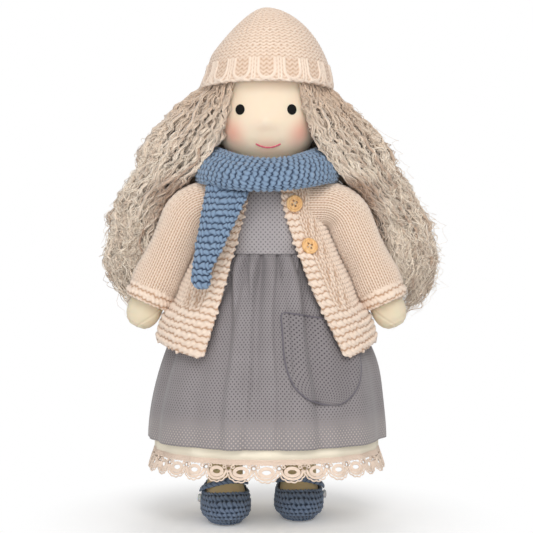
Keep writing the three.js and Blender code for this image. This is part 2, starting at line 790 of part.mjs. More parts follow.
// A leg with a domed top that turns under the torso; an inner form starts above the sole
function legRings(grow, side) {
  const straight = legRows.map(([z, ...sizes], i) => legRing([i ? z : z - grow, ...sizes], grow, side));
  const dome = [0.3, 0.6, 0.85].map((share) => {
    const angle = (share * Math.PI) / 2;
    const radius = (legRadius + grow) * Math.cos(angle);
    return legRing([hipZ + (legRadius + grow) * Math.sin(angle), radius, radius, radius], 0, side);
  });
  return [...straight, ...dome];
}

// What is cut away above the shoe: low over the instep, high at the heel. Points are [backward, up].
function shoeOpening(side, grow) {
  const instep = instepHeight + touch - grow;
  const outline = [
    [-toeCapBack - grow, far / 4], [-toeCapBack - grow, instep + 3.5], [-15, instep], [0, instep + 2],
    [9, shoeHeight - 2 - grow], [40, shoeHeight - grow], [40, far / 4],
  ];
  return slab(outline, -far / 8, far / 8).transform(quarterTurn).transform(legPlace(side, 0).elements);
}

function shoePieces(side) {
  const outside = solidOf([
    legRing([0, 12, 31, 12.5], shoeKnit / 2, side),
    legRing([1.4, 13, 32.5, 13], shoeKnit, side),
    ...legRows.slice(1, -1).map((row) => legRing(row, shoeKnit + touch, side)),
  ]);
  const foot = solidOf(legRings(touch, side));
  const over = solidOf(legRows.map((row) => legRing(row, touch + strapThickness, side)));
  const strapTop = shoeHeight + shoeKnit + strapWidth;
  const across = slab([
    [-strapAhead, 0], [strapWidth - strapAhead, 0],
    [strapWidth - strapAhead + strapLean, strapTop], [strapLean - strapAhead, strapTop],
  ], -far / 8, far / 8).transform(quarterTurn).transform(legPlace(side, 0).elements);
  const strap = cut(over, foot).intersect(across).intersect(shoeOpening(side, -touch));

  const wall = readAt(legRows, shoeButtonHeight)[0] + shoeKnit + 3 * touch;
  const place = legPlace(side, shoeButtonHeight);
  const button = solidOf([[0, 1], [0.7, 1], [1, 0.8]].map(([lift, share]) => {
    const middle = new THREE.Vector3(side * (wall + lift * shoeButtonThickness), -shoeButtonAhead, 0);
    const [ahead, up] = [new THREE.Vector3(0, -1, 0), new THREE.Vector3(0, 0, 1)];
    const radius = shoeButtonRadius * share;
    return loop(middle, ahead, up, radius, radius, sides.eye).map((p) => p.applyMatrix4(place));
  }));
  return {
    shoe: mainPiece(cut(outside, foot, shoeOpening(side, 0))),
    strap: mainPiece(strap),
    button,
  };
}

function legPieces(side) {
  return {
    stuffing: solidOf(legRings(-skin - touch, side)),
    skin: cup(legRings(0, side), legRings(-skin, side)),
    ...shoePieces(side),
  };
}

// Wig cap and hair

function wigCapSolid() {
  const shell = cut(headForm(capThickness), headForm(touch));
  const corner = new THREE.Vector3(-far, -far, 0);
  const face = block(corner, new THREE.Vector3(far, -capForehead, brimZ + bandHeight / 2));
  const nape = block(corner, new THREE.Vector3(far, far, headMiddle - capNape));
  return mainPiece(cut(shell, face, nape));
}

// Hat radius at a height above the brim
const hatProfile = (height) => (1 - (height / hatHeight) ** 1.8) ** 0.55;
function hatRings(grow, from) {
  const shares = [0, 0.2, 0.4, 0.6, 0.78, 0.9, 0.975];
  return shares.map((share) => {
    const height = from + (hatHeight - from) * share;
    const radius = hatRadius * hatProfile(height) + grow;
    const top = share === 0 ? 0 : grow;
    return oval(brimZ + height + top, radius, radius, { count: sides.hat });
  });
}

function hatPieces() {
  const bandRings = (grow) => [0, bandHeight / 2, bandHeight].map((height) => {
    const radius = hatRadius * hatProfile(height) + grow;
    return oval(brimZ + height, radius, radius, { count: sides.hat });
  });
  const crownFrom = bandHeight + touch;
  return {
    hat_crown: cup(hatRings(0, crownFrom).reverse(), hatRings(-hatKnit, crownFrom).reverse()),
    hat_band: tube(bandRings(bandSwell), bandRings(-hatKnit)),
  };
}

// Height below the brim, half width, front and back of the whole mane
const maneRows = [
  [touch, 50, -24, 46],
  [20, 78, -25, 50],
  [40, 95, -23, 52],
  [58, 104, -19, 54],
  [76, 117, -11, 56],
  [96, 128, 2, 55],
  [126, 136, 6, 54],
  [148, 134, 8, 53],
  [maneHeight - 10, 118, 12, 51],
  [maneHeight, 92, 20, 47],
];
const maneRing = ([drop, half, front, back], grow) =>
  oval(brimZ - drop, half + grow, (back - front) / 2 + grow, {
    count: sides.hair, y: (back + front) / 2, power: maneSquareness,
  });

// Where the hair is open in front of the face, as [half width, height above the brim]
const faceWindow = [[34, 40], [33, -4], [38, -20], [40, -42], [34, -60]];

function hairPieces() {
  const outer = maneRows.map((row) => maneRing(row, 0));
  const inner = maneRows.slice(1).map((row) => maneRing(row, -hairThickness));
  inner.at(-1).forEach((p) => { p.z -= 1; });
  const window = [
    ...faceWindow.map(([x, z]) => [x, brimZ + z]),
    ...faceWindow.map(([x, z]) => [-x, brimZ + z]).reverse(),
  ];
  const open = cut(
    solidOf(outer),
    solidOf(inner),
    headForm(capThickness + touch),
    slab(window, -far / 4, -6),
    wrapForm(touch),
    solidOf([cardiganTop - scarfHalfHeight, headMiddle].map((z) =>
      oval(z, scarfRadius, scarfRadius - touch, { count: sides.hair }))),
    cardiganForm(touch),
    ...[1, -1].flatMap((side) => [
      solidOf(sleeveRings(side, touch)),
      solidOf(cuffRings(side, touch, -touch)),
      solidOf(armRings(side, touch, armRows.slice(-4))),
    ]),
  );
  const strip = (from, to) => mainPiece(open.intersect(
    block(new THREE.Vector3(from, -far, 0), new THREE.Vector3(to, far, far)),
  ));
  const crown = cut(
    solidOf(hatRings(-hatKnit - touch, 0)),
    headForm(capThickness + touch),
    block(new THREE.Vector3(-far, -far, 0), new THREE.Vector3(far, far, brimZ)),
  );
  return {
    hair_left: strip(hairParting + touch / 2, far),
    hair_right: strip(-far, -hairParting - touch / 2),
    hair_back: strip(-hairParting + touch / 2, hairParting - touch / 2),
    hair_crown: mainPiece(crown),
  };
}

// Materials

const material = (color, roughness = 0.9) =>
  new THREE.MeshStandardMaterial({ color, roughness, metalness: 0 });
const finishes = {
  skin: material('#efdcc0'),
  legSkin: material('#c9b390'),
  wool: material('#f3eee2'),
  thread: material('#efe6d6'),
  eye: material('#15120f', 0.7),
  mouth: material('#cf5f74'),
  hair: material('#c8b6a6'),
  cream: material('#ead3bf'),
  blue: material('#7187a3'),
  shoe: material('#5f6f86'),
  grey: material('#96908f'),
  cotton: material('#ddd2bd'),
  lace: material('#e8d6c4'),
  wood: material('#d9ac74', 0.55),
  shell: material('#e9e6e0', 0.3),
};

// The doll

const doll = new THREE.Group();

function add(group, name, geometry, finish) {
  const mesh = new THREE.Mesh(geometry, finishes[finish]);
  mesh.name = name;
  group.add(mesh);
}

// Adds named solids, with one finish for all or a finish for each name.
function addAll(pieces, finish) {
  Object.entries(pieces).forEach(([name, solid]) => {
    add(doll, name, geometryOf(solid), finish[name] ?? finish);
  });
}

addAll(torsoPieces(), { torso_stuffing: 'wool', torso_skin: 'skin' });
addAll(headPieces(), { head_stuffing: 'wool', head_skin: 'skin', neck_tie: 'thread' });
addAll({ eye_left: eye(1), eye_right: eye(-1) }, 'eye');
addAll({ mouth: mouth() }, 'mouth');
addAll({ wig_cap: wigCapSolid(), ...hairPieces() }, 'hair');
addAll(hatPieces(), 'cream');
addAll({ ...dressPieces(), dress_pocket: pocket() }, 'grey');
addAll(petticoatPieces(), { petticoat: 'cotton', lace_trim: 'lace' });
addAll(cardiganPieces(), 'cream');
addAll(scarfPieces(), 'blue');

for (const [side, word] of [[1, 'left'], [-1, 'right']]) {
  const arm = armPieces(side);
  const wear = sleevePieces(side);
  const leg = legPieces(side);
  add(doll, `arm_${word}_stuffing`, geometryOf(arm.stuffing), 'wool');
  add(doll, `arm_${word}_skin`, geometryOf(arm.skin), 'skin');
  add(doll, `sleeve_${word}`, geometryOf(wear.sleeve), 'cream');
  add(doll, `cuff_${word}`, geometryOf(wear.cuff), 'cream');
  add(doll, `leg_${word}_stuffing`, geometryOf(leg.stuffing), 'wool');
  add(doll, `leg_${word}_skin`, geometryOf(leg.skin), 'legSkin');
  add(doll, `shoe_${word}`, geometryOf(leg.shoe), 'shoe');
  add(doll, `shoe_strap_${word}`, geometryOf(leg.strap), 'shoe');
  add(doll, `shoe_button_${word}`, geometryOf(leg.button), 'shell');
}

for (const [word, x, drop] of buttonPlaces) {
  const { place, normal } = onCardigan(x, neckZ - drop);
  const seat = new THREE.Group();
  seat.position.copy(place);
  seat.quaternion.setFromUnitVectors(new THREE.Vector3(0, 0, 1), normal);
  doll.add(seat);
  add(seat, `button_${word}`, buttonSolid(), 'wood');
  add(seat, `button_thread_${word}`, buttonThreadSolid(), 'thread');
}

export default doll;
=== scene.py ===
import math
from functools import partial

import bmesh
import bpy
import numpy as np
from mathutils import Matrix, Vector


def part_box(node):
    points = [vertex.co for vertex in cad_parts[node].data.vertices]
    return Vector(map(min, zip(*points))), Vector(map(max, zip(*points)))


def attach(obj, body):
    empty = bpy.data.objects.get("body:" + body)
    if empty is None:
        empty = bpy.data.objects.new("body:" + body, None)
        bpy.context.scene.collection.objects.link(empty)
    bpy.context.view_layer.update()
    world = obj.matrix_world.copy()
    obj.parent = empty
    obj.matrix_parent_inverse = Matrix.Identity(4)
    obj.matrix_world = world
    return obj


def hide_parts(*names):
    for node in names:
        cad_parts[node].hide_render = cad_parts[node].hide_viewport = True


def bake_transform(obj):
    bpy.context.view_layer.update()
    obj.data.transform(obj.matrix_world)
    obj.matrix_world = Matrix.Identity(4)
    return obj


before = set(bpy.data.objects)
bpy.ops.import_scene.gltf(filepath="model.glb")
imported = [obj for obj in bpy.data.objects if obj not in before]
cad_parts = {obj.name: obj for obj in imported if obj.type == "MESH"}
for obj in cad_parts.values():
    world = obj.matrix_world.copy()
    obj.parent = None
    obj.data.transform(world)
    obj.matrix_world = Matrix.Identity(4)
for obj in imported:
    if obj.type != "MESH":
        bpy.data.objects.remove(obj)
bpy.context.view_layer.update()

mm = 0.001
turn = 2 * math.pi
bothSides = ((1, "left"), (-1, "right"))    # the way along X and its word
smooth = {"interpolation_type": "SMOOTHSTEP"}    # for map range nodes
draws = np.random.default_rng(11)    # one seeded source for everything that varies

# Lengths below are in millimetres, with the doll facing -Y, her left side at +X and the floor at z = 0.

# Small tools


def linear(hexText):
    values = [int(hexText[i:i + 2], 16) / 255 for i in (1, 3, 5)]
    return [v / 12.92 if v <= 0.04045 else ((v + 0.055) / 1.055) ** 2.4 for v in values] + [1.0]


def addNode(tree, kind, links=None, **settings):
    # a link's value is a number, a colour, a socket, or a node, which gives the first of its outputs in use
    node = tree.nodes.new("ShaderNode" + kind)
    for name, value in settings.items():
        setattr(node, name, value)
    for socket, value in (links or {}).items():
        if isinstance(value, bpy.types.Node):
            value = next(output for output in value.outputs if output.enabled)
        if isinstance(value, bpy.types.NodeSocket):
            tree.links.new(value, node.inputs[socket])
        else:
            node.inputs[socket].default_value = value
    return node


def newMaterial(name):
    material = bpy.data.materials.new(name)
    material.use_nodes = True
    material.node_tree.nodes.clear()
    return material, material.node_tree


def finishMaterial(material, colour, roughness, relief=None, **constants):
    # relief is what raises the surface, how strongly, and how far in mm
    tree = material.node_tree
    links = {"Base Color": colour, "Roughness": roughness}
    links.update((name.replace("_", " "), value) for name, value in constants.items())
    if relief:
        height, strength, far = relief
        links["Normal"] = addNode(tree, "Bump", {"Height": height, "Strength": strength, "Distance": far * mm})
    addNode(tree, "OutputMaterial", {"Surface": addNode(tree, "BsdfPrincipled", links)})
    return material


def smoothRead(rows, at):
    rows = np.asarray(rows, float)
    place, values = rows[:, 0], rows[:, 1:]
    slopes = np.gradient(values, place, axis=0)
    at = np.clip(np.asarray(at, float), place[0], place[-1])
    i = np.clip(np.searchsorted(place, at, side="right") - 1, 0, len(place) - 2)
    step = (place[i + 1] - place[i])[..., None]
    s = (at - place[i])[..., None] / step
    read = (
        (2 * s**3 - 3 * s**2 + 1) * values[i] + (s**3 - 2 * s**2 + s) * step * slopes[i]
        + (3 * s**2 - 2 * s**3) * values[i + 1] + (s**3 - s**2) * step * slopes[i + 1]
    )
    return np.moveaxis(read, -1, 0)


def clamp(value):
    return np.clip(value, 0, 1)


def hill(at, middle, half):
    return np.exp(-((at - middle) / half) ** 2)


def oval(angle, halfWidth, halfDepth, power=2.0):
    c, s = np.cos(angle), np.sin(angle)
    return (halfWidth * np.sign(c) * np.abs(c) ** (2 / power), halfDepth * np.sign(s) * np.abs(s) ** (2 / power))


def points(x, y, z):
    return np.stack(np.broadcast_arrays(x, y, z), -1).astype(float)


def ring(angle, halfWidth, halfDepth, z):
    return points(*oval(angle, halfWidth, halfDepth), z)


def inScene(name, data):
    made = bpy.data.objects.new(name, data)
    bpy.context.scene.collection.objects.link(made)
    return made


def meshFrom(shape, name):
    mesh = bpy.data.meshes.new(name)
    shape.to_mesh(mesh)
    shape.free()
    return mesh


def bakedMesh(name, carrier, *helpers):
    # the mesh that an object has once it is evaluated; the object and its helpers then go
    bpy.context.view_layer.update()
    mesh = bpy.data.meshes.new_from_object(carrier.evaluated_get(bpy.context.evaluated_depsgraph_get()))
    mesh.name = name
    for each in (carrier, *helpers):
        bpy.data.objects.remove(each)
    return mesh


def addPiece(mesh, material, body=None, nodes=()):
    # a piece has the name of its mesh
    piece = inScene(mesh.name, mesh)
    mesh.materials.append(material)
    if body:
        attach(piece, body)
    if nodes:
        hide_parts(*nodes)
    return piece


def cloth(name, columns, rows, place, size, relief=None, height=0.0, closed=False):
    # a grid laid on place(u, v) and raised along its normal by relief(u, v), with its UV map in real metres
    # from its flat size in mm
    shape = bmesh.new()
    bmesh.ops.create_grid(shape, x_segments=columns, y_segments=rows, size=0.5)
    mesh = meshFrom(shape, name)
    flat = np.empty(len(mesh.vertices) * 3)
    mesh.vertices.foreach_get("co", flat)
    flat = flat.reshape(-1, 3)[:, :2]
    u, v = ((flat - flat.min(0)) / (flat.max(0) - flat.min(0))).T
    step = 1e-3
    low, high = (u - step, u + step) if closed else (np.maximum(u - step, 0), np.minimum(u + step, 1))
    across = place(high, v) - place(low, v)
    along = place(u, np.minimum(v + step, 1)) - place(u, np.maximum(v - step, 0))
    normal = np.cross(across, along)
    normal /= np.maximum(np.linalg.norm(normal, axis=1), 1e-9)[:, None]
    raised = relief(u, v) if relief else np.zeros(len(u))
    mesh.vertices.foreach_set("co", ((place(u, v) + normal * (height * raised)[:, None]) * mm).ravel())
    mesh.attributes.new("relief", "FLOAT", "POINT").data.foreach_set("value", raised.astype(np.float32))
    corners = np.empty(len(mesh.loops), np.int32)
    mesh.loops.foreach_get("vertex_index", corners)
    flatPlace = np.stack([u * size[0], v * size[1]], 1) * mm
    mesh.uv_layers.new(name="UVMap").data.foreach_set("uv", flatPlace[corners].astype(np.float32).ravel())
    if closed:
        shape = bmesh.new()
        shape.from_mesh(mesh)
        bmesh.ops.remove_doubles(shape, verts=shape.verts, dist=0.02 * mm)
        shape.to_mesh(mesh)
        shape.free()
    mesh.shade_smooth()
    return mesh


def thicken(piece, thickness):
    wall = piece.modifiers.new("thickness", "SOLIDIFY")
    wall.thickness = thickness * mm
    wall.offset = -1


def strands(name, paths, radii, sides=3):
    # one mesh of tapering threads: paths is (threads, points, 3) in mm, radii is (threads, points) in mm
    section = bpy.data.curves.new(name + "_section", "CURVE")
    section.dimensions = "3D"
    rim = section.splines.new("POLY")
    rim.points.add(sides - 1)
    for i, point in enumerate(rim.points):
        point.co = (mm * math.cos(turn * i / sides), mm * math.sin(turn * i / sides), 0, 1)
    rim.use_cyclic_u = True
    sectionObject = inScene(name + "_section", section)
    curve = bpy.data.curves.new(name + "_curve", "CURVE")
    curve.dimensions = "3D"
    curve.bevel_mode = "OBJECT"
    curve.bevel_object = sectionObject
    curve.use_fill_caps = True
    count = paths.shape[1]
    for path, radius in zip(paths, radii):
        thread = curve.splines.new("POLY")
        thread.points.add(count - 1)
        thread.points.foreach_set("co", np.column_stack([path * mm, np.ones(count)]).ravel())
        thread.points.foreach_set("radius", radius.astype(np.float32))
    mesh = bakedMesh(name, inScene(name + "_curve", curve), sectionObject)
    mesh.shade_smooth()
    return mesh


def strandValues(mesh, name, values):
    # one value for each point of each thread; the mesh holds the end caps first, from the last thread to the first
    around = len(mesh.vertices) // (values.shape[0] * (values.shape[1] + 2))
    ends = np.stack([values[::-1, -1], values[::-1, 0]], 1)
    every = np.concatenate([np.repeat(ends.ravel(), around), np.repeat(values.ravel(), around)])
    mesh.attributes.new(name, "FLOAT", "POINT").data.foreach_set("value", every.astype(np.float32))


# Stitches: each gives 0 in the gaps and 1 on top of the yarn, for x in stitches and y in rows


def stockinette(x, y):
    out = np.abs(x % 1 - 0.5) * 2
    climb = (y - 1.1 * out) % 1
    return np.sin(np.pi * out) ** 0.6 * (0.1 + 0.9 * np.sin(np.pi * climb) ** 0.7)


def uneven(x, y, amount=1.0):
    # makes stitches as irregular as hand knitting leaves them
    dx = 0.13 * np.sin(2.3 * x + 1.9 * np.sin(1.3 * y)) + 0.10 * np.sin(0.71 * x + 3.1 * y)
    dy = 0.10 * np.sin(1.9 * y + 2.1 * np.sin(0.9 * x + 1)) + 0.07 * np.sin(2.9 * x - 0.8 * y)
    return x + amount * dx, y + amount * dy


def loopRidges(x, y, parted=0.5):
    # a ridge of slanted loops in each row, with a gap between rows
    up = y % 1 - 0.5 - 0.1 * np.cos(turn * x)
    ridge = 1 - clamp(np.abs(up) / 0.49) ** 2.4
    return ridge * (1 - parted + parted * np.cos(np.pi * (x + 0.8 * up)) ** 2)


def garter(x, y, parted=0.5, loose=0.8):
    return loopRidges(*uneven(x, y, loose), parted)


def seed(x, y):
    x, y = uneven(x, y, 0.7)
    return loopRidges(x + 0.5 * (np.floor(y) % 2), y, 0.7)


def purl(x, y):
    # the waves that the backs of the stitches make, with pits above and below each wave
    x, y = uneven(x, y, 0.3)
    crest = np.cos(turn * x)
    gap = np.abs((y - 0.25 * crest) % 1 - 0.5) * 2
    return 0.6 * (1 - (0.5 + 0.5 * np.where(crest > 0, crest, -0.6 * crest)) * gap ** 1.7)


# Finishes: the scale of a noise is in cells per metre


def mottled(name, light, dark, scale, detail=2.0):
    # how most finishes start: two tones in patches
    material, tree = newMaterial(name)
    place = addNode(tree, "TexCoord").outputs["Object"]
    patches = addNode(tree, "TexNoise", {"Vector": place, "Scale": scale, "Detail": detail})
    colour = addNode(tree, "Mix", {0: patches, 6: linear(light), 7: linear(dark)}, data_type="RGBA")
    return material, tree, place, patches, colour


def yarnFinish(name, light, warm, paintedShade, fuzz=0.35):
    # soft wool yarn: matte and a little fuzzy, light on the stitches, with painted shade, darker and warmer, down in
    # the gaps between them
    material, tree, place, _, top = mottled(name, light, warm, 90.0, 3.0)
    relief = addNode(tree, "Attribute", attribute_name="relief").outputs["Fac"]
    # painted shade: where the relief is low, between the stitches, the colour goes over to the shade colour
    raised = addNode(tree, "MapRange", {"Value": relief, "From Max": 0.66}, **smooth)
    colour = addNode(tree, "Mix", {0: raised, 6: linear(paintedShade), 7: top}, data_type="RGBA")
    fibres = addNode(tree, "TexNoise", {"Vector": place, "Scale": 900.0, "Detail": 4.0})
    soft = {"Sheen_Weight": fuzz, "Sheen_Roughness": 0.5, "Specular_IOR_Level": 0.2}
    return finishMaterial(material, colour, 0.92, (fibres, 0.9, 0.6), **soft)


def jerseyFinish(name, light, warm, rougeAndChinLight=None):
    # fine cotton jersey, drawn tight over wool: matte skin with fine ribs, rouge on the cheeks, and painted warm
    # light where a spot is given under the chin
    material, tree, place, _, colour = mottled(name, light, warm, 45.0)
    # each spot is rouge on a cheek, or painted warm light in the shade under the chin
    for cheek in rougeAndChinLight["places"] if rougeAndChinLight else ():
        away = addNode(tree, "VectorMath", {0: place, 1: [c * mm for c in cheek]}, operation="DISTANCE")
        fade = {"Value": away, "From Min": rougeAndChinLight["reach"] * mm, "From Max": 0.0, "To Max": rougeAndChinLight["strength"]}
        amount = addNode(tree, "MapRange", fade, **smooth)
        colour = addNode(tree, "Mix", {0: amount, 6: colour, 7: linear(rougeAndChinLight["colour"])}, data_type="RGBA")
    # ribs of 0.9 mm, a little coarser than real jersey so that they show
    ribs = addNode(tree, "TexWave", {"Vector": place, "Scale": 1 / (0.9 * mm * 20), "Distortion": 0.6}).outputs["Fac"]
    grain = addNode(tree, "TexNoise", {"Vector": place, "Scale": 1500.0, "Detail": 2.0})
    both = addNode(tree, "Math", {0: ribs, 1: grain}, operation="ADD")
    soft = {"Sheen_Weight": 0.15, "Sheen_Roughness": 0.5, "Specular_IOR_Level": 0.25}
    return finishMaterial(
        material, colour, 0.85, (both, 0.12, 0.2), Subsurface_Weight=0.15, Subsurface_Scale=0.004, **soft
    )


def eyeletFinish(name, light, dark, hole, litHole):
    # soft grey knit with small open eyelets in staggered rows, 2.9 by 3.7 mm; the eyelets hold painted shade, and
    # near the hem the lining under painted light
    material, tree, place, _, colour = mottled(name, light, dark, 60.0, 3.0)
    flat = addNode(tree, "TexCoord").outputs["UV"]
    cells = addNode(tree, "VectorMath", {0: flat, 1: (1 / (2.9 * mm), 1 / (3.7 * mm), 0)}, operation="MULTIPLY")
    nearest = 1.0
    for shift in (0.0, 0.5):
        moved = addNode(tree, "VectorMath", {0: cells, 1: (shift, shift, 0)}, operation="ADD")
        cell = addNode(tree, "VectorMath", {0: moved}, operation="FRACTION")
        away = addNode(tree, "VectorMath", {0: cell, 1: (0.5, 0.5, 0)}, operation="DISTANCE")
        nearest = addNode(tree, "Math", {0: nearest, 1: away}, operation="MINIMUM")
    inHole = addNode(tree, "MapRange", {"Value": nearest, "From Min": 0.22, "From Max": 0.09}, **smooth)
    level = addNode(tree, "SeparateXYZ", {0: place}).outputs["Z"]
    # painted light and shade: low on the skirt the eyelets turn from the shaded colour to the lit lining
    low = addNode(tree, "MapRange", {"Value": level, "From Min": 88 * mm, "From Max": 70 * mm}, **smooth)
    behind = addNode(tree, "Mix", {0: low, 6: linear(hole), 7: linear(litHole)}, data_type="RGBA")
    colour = addNode(tree, "Mix", {0: inHole, 6: colour, 7: behind}, data_type="RGBA")
    threads = addNode(tree, "TexNoise", {"Vector": place, "Scale": 1500.0, "Detail": 2.0})
    sunk = addNode(tree, "Math", {0: threads, 1: inHole}, operation="SUBTRACT")
    soft = {"Sheen_Weight": 0.2, "Sheen_Roughness": 0.5, "Specular_IOR_Level": 0.3}
    return finishMaterial(material, colour, 0.8, (sunk, 0.5, 0.3), **soft)


def cottonFinish(name, light, dark):
    # undyed cotton lawn: matte, with a fine plain weave of about 0.8 mm, drawn coarser than real so that it shows
    material, tree, _, _, colour = mottled(name, light, dark, 70.0, 3.0)
    flat = addNode(tree, "TexCoord").outputs["UV"]
    weave = addNode(tree, "TexWave", {"Vector": flat, "Scale": 1 / (0.8 * mm * 20), "Distortion": 1.0}).outputs["Fac"]
    return finishMaterial(material, colour, 0.85, (weave, 0.25, 0.2), Sheen_Weight=0.1, Specular_IOR_Level=0.3)


def threadFinish(name, light, dark, roughness=0.75):
    # sewing or crochet cotton: slightly lustrous, with a fine twist
    material, _, _, twist, colour = mottled(name, light, dark, 1600.0)
    return finishMaterial(material, colour, roughness, (twist, 0.4, 0.15), Specular_IOR_Level=0.3)


def mohairFinish(name, root, light, dark):
    # crimped mohair: pale blond coils, each of its own tone, matte and soft at the edges like all fine wool; the tone
    # also carries painted shade, on the locks' cores and beside the shoulders
    material, tree = newMaterial(name)
    tone = addNode(tree, "Attribute", attribute_name="tone").outputs["Fac"]
    along = addNode(tree, "Attribute", attribute_name="along").outputs["Fac"]
    mixed = addNode(tree, "Mix", {0: tone, 6: linear(dark), 7: linear(light)}, data_type="RGBA")
    fromRoot = addNode(tree, "MapRange", {"Value": along, "From Max": 0.42}, **smooth)
    colour = addNode(tree, "Mix", {0: fromRoot, 6: linear(root), 7: mixed}, data_type="RGBA")
    place = addNode(tree, "TexCoord").outputs["Object"]
    fibres = addNode(tree, "TexNoise", {"Vector": place, "Scale": 1100.0, "Detail": 3.0})
    soft = {"Sheen_Weight": 0.5, "Sheen_Roughness": 0.6, "Specular_IOR_Level": 0.25}
    return finishMaterial(material, colour, 0.7, (fibres, 0.7, 0.6), **soft)


def woodFinish(name, light, dark):
    # turned pale beech under a thin varnish: fine straight grain and a soft shine
    material, tree = newMaterial(name)
    place = addNode(tree, "TexCoord").outputs["Object"]
    stretched = addNode(tree, "Mapping", {"Vector": place, "Scale": (900.0, 150.0, 120.0)})
    grain = addNode(tree, "TexNoise", {"Vector": stretched, "Scale": 1.0, "Detail": 4.0})
    amount = addNode(tree, "MapRange", {"Value": grain, "From Min": 0.35, "From Max": 0.65})
    colour = addNode(tree, "Mix", {0: amount, 6: linear(light), 7: linear(dark)}, data_type="RGBA")
    return finishMaterial(material, colour, 0.42, (grain, 0.15, 0.1), Coat_Weight=0.15, Coat_Roughness=0.3)


def pearlFinish(name, light, dark):
    # cast resin shirt button: milky and half clear, smooth
    material, _, _, _, colour = mottled(name, light, dark, 300.0)
    return finishMaterial(
        material, colour, 0.2, Transmission_Weight=0.35, Subsurface_Weight=0.2, Subsurface_Scale=0.002
    )


# the third colour of each yarn is the painted shade down in the gaps between its stitches
creamYarn = yarnFinish("merino_yarn_cream", "#f5e3d2", "#efd8c4", "#c49e80")
blueYarn = yarnFinish("chunky_wool_yarn_blue", "#8fa5be", "#7890ab", "#27344a")
capYarn = yarnFinish("crochet_cap_blond", "#cbb8a6", "#bda894", "#7d6a58")
shoeYarn = yarnFinish("crochet_cotton_blue", "#7b8ba3", "#68788f", "#222c3b", fuzz=0.2)
# rouge on both cheeks; the third spot, under the chin, is painted warm light in the shade there
skinJersey = jerseyFinish("cotton_jersey_skin", "#efdec6", "#ebd6bd", {
    "places": [(-28, -30, 287), (28, -30, 287), (0, -38, 270)], "reach": 18, "strength": 0.75, "colour": "#f0a48e",
})
handJersey = jerseyFinish("cotton_jersey_ecru", "#e5d8be", "#dccdb0")
legJersey = jerseyFinish("cotton_jersey_tan", "#cdb98f", "#c0a97f")
dressKnit = eyeletFinish("eyelet_knit_grey", "#979192", "#8a8485", "#4e484c", "#c4b8ae")
# the bodice is painted paler, as painted light on cloth that sits in shade between the cardigan's fronts; the pocket
# is a little darker, and its eyelets hold painted shade down to the hem
bodiceKnit = eyeletFinish("eyelet_knit_painted_paler", "#ada7a7", "#a09a9b", "#726c70", "#c4b8ae")
pocketKnit = eyeletFinish("eyelet_knit_pocket", "#8c8687", "#807a7c", "#3b363a", "#3b363a")
petticoatCotton = cottonFinish("cotton_lawn_undyed", "#f7eedb", "#efe5cf")
laceThread = threadFinish("crochet_cotton_lace", "#f4e1d0", "#ead5c3")
eyeThread = threadFinish("stranded_cotton_black", "#0d0b0a", "#070606", 0.9)
mouthThread = threadFinish("stranded_cotton_rose", "#d8687a", "#c85469", 0.7)
seamThread = threadFinish("sewing_cotton_grey", "#77727a", "#68636b")
sewingThread = threadFinish("sewing_cotton_cream", "#efe3cf", "#ddcdb4")
stuffingWool = threadFinish("carded_wool_stuffing", "#f3eee2", "#e6dfce", 0.95)
mohair = mohairFinish("crimped_mohair_blond", "#dcc1a8", "#fff1de", "#b3937a")
buttonWood = woodFinish("varnished_beech", "#f3ca92", "#dfa868")
buttonResin = pearlFinish("cast_resin_milky", "#f4f3ef", "#dfe2e4")
print("finishes made")

# Body under the clothes

body = {
    "torso": [    # height, half width, half depth
        (117.6, 29.5, 20), (126.3, 35, 26), (146.5, 36.5, 27), (189.8, 34.5, 26), (230.2, 36.5, 24),
        (244.7, 36.1, 23), (253.3, 28.2, 20), (259.8, 17.5, 16.5), (262, 14, 14),
    ],
    "waist": 200.0, "cap": 0.1,    # cap is the share of v that closes each end
}


def torsoPlace(u, v):
    rows, cap = body["torso"], body["cap"]
    z = rows[0][0] + (rows[-1][0] - rows[0][0]) * clamp((v - cap) / (1 - 2 * cap))
    width, depth = smoothRead(rows, z)
    share = clamp(v / cap) * clamp((1 - v) / cap)
    return ring(u * turn, width * share, depth * share, z)


torsoMesh = cloth("torso_body", 48, 48, torsoPlace, (210, 150), closed=True)
torso = addPiece(torsoMesh, handJersey, "torso", ["torso_skin"])

# Head and face

head = {
    "middle": 319.0, "radius": 41.0, "halfHeight": 51.0, "fullness": 2.6,
    "neckRadius": 14.0, "neckBottom": 262.5, "neckShare": 0.06, "neckAngle": math.acos(0.976),
    "nose": {"height": 296.0, "lift": 3.0, "halfWidth": 8.5, "halfHeight": 7.0},
    "cheek": {"height": 289.0, "lift": 1.0, "aside": 24.0, "halfWidth": 12.0, "halfHeight": 11.0},
    "dimple": {"height": 281.0, "lift": -1.1, "halfWidth": 2.4, "halfHeight": 2.2},
    "dimplesAt": (-8.6, 11.0), "eyeLine": {"height": 306.5, "depth": 1.2, "spread": 6.5},
    "smile": {"middle": 1.2, "height": 277.9, "bow": 0.032, "lift": -0.7, "halfWidth": 9.0, "halfHeight": 1.6},
}


def headRadiusAt(z):
    level = np.clip((z - head["middle"]) / head["halfHeight"], -1, 1)
    power = np.where(level < 0, head["fullness"], 2.0)
    return head["radius"] * (1 - np.abs(level) ** power) ** (1 / power)


def swell(form, x, z):
    return form["lift"] * hill(x, 0, form["halfWidth"]) * hill(z, form["height"], form["halfHeight"])


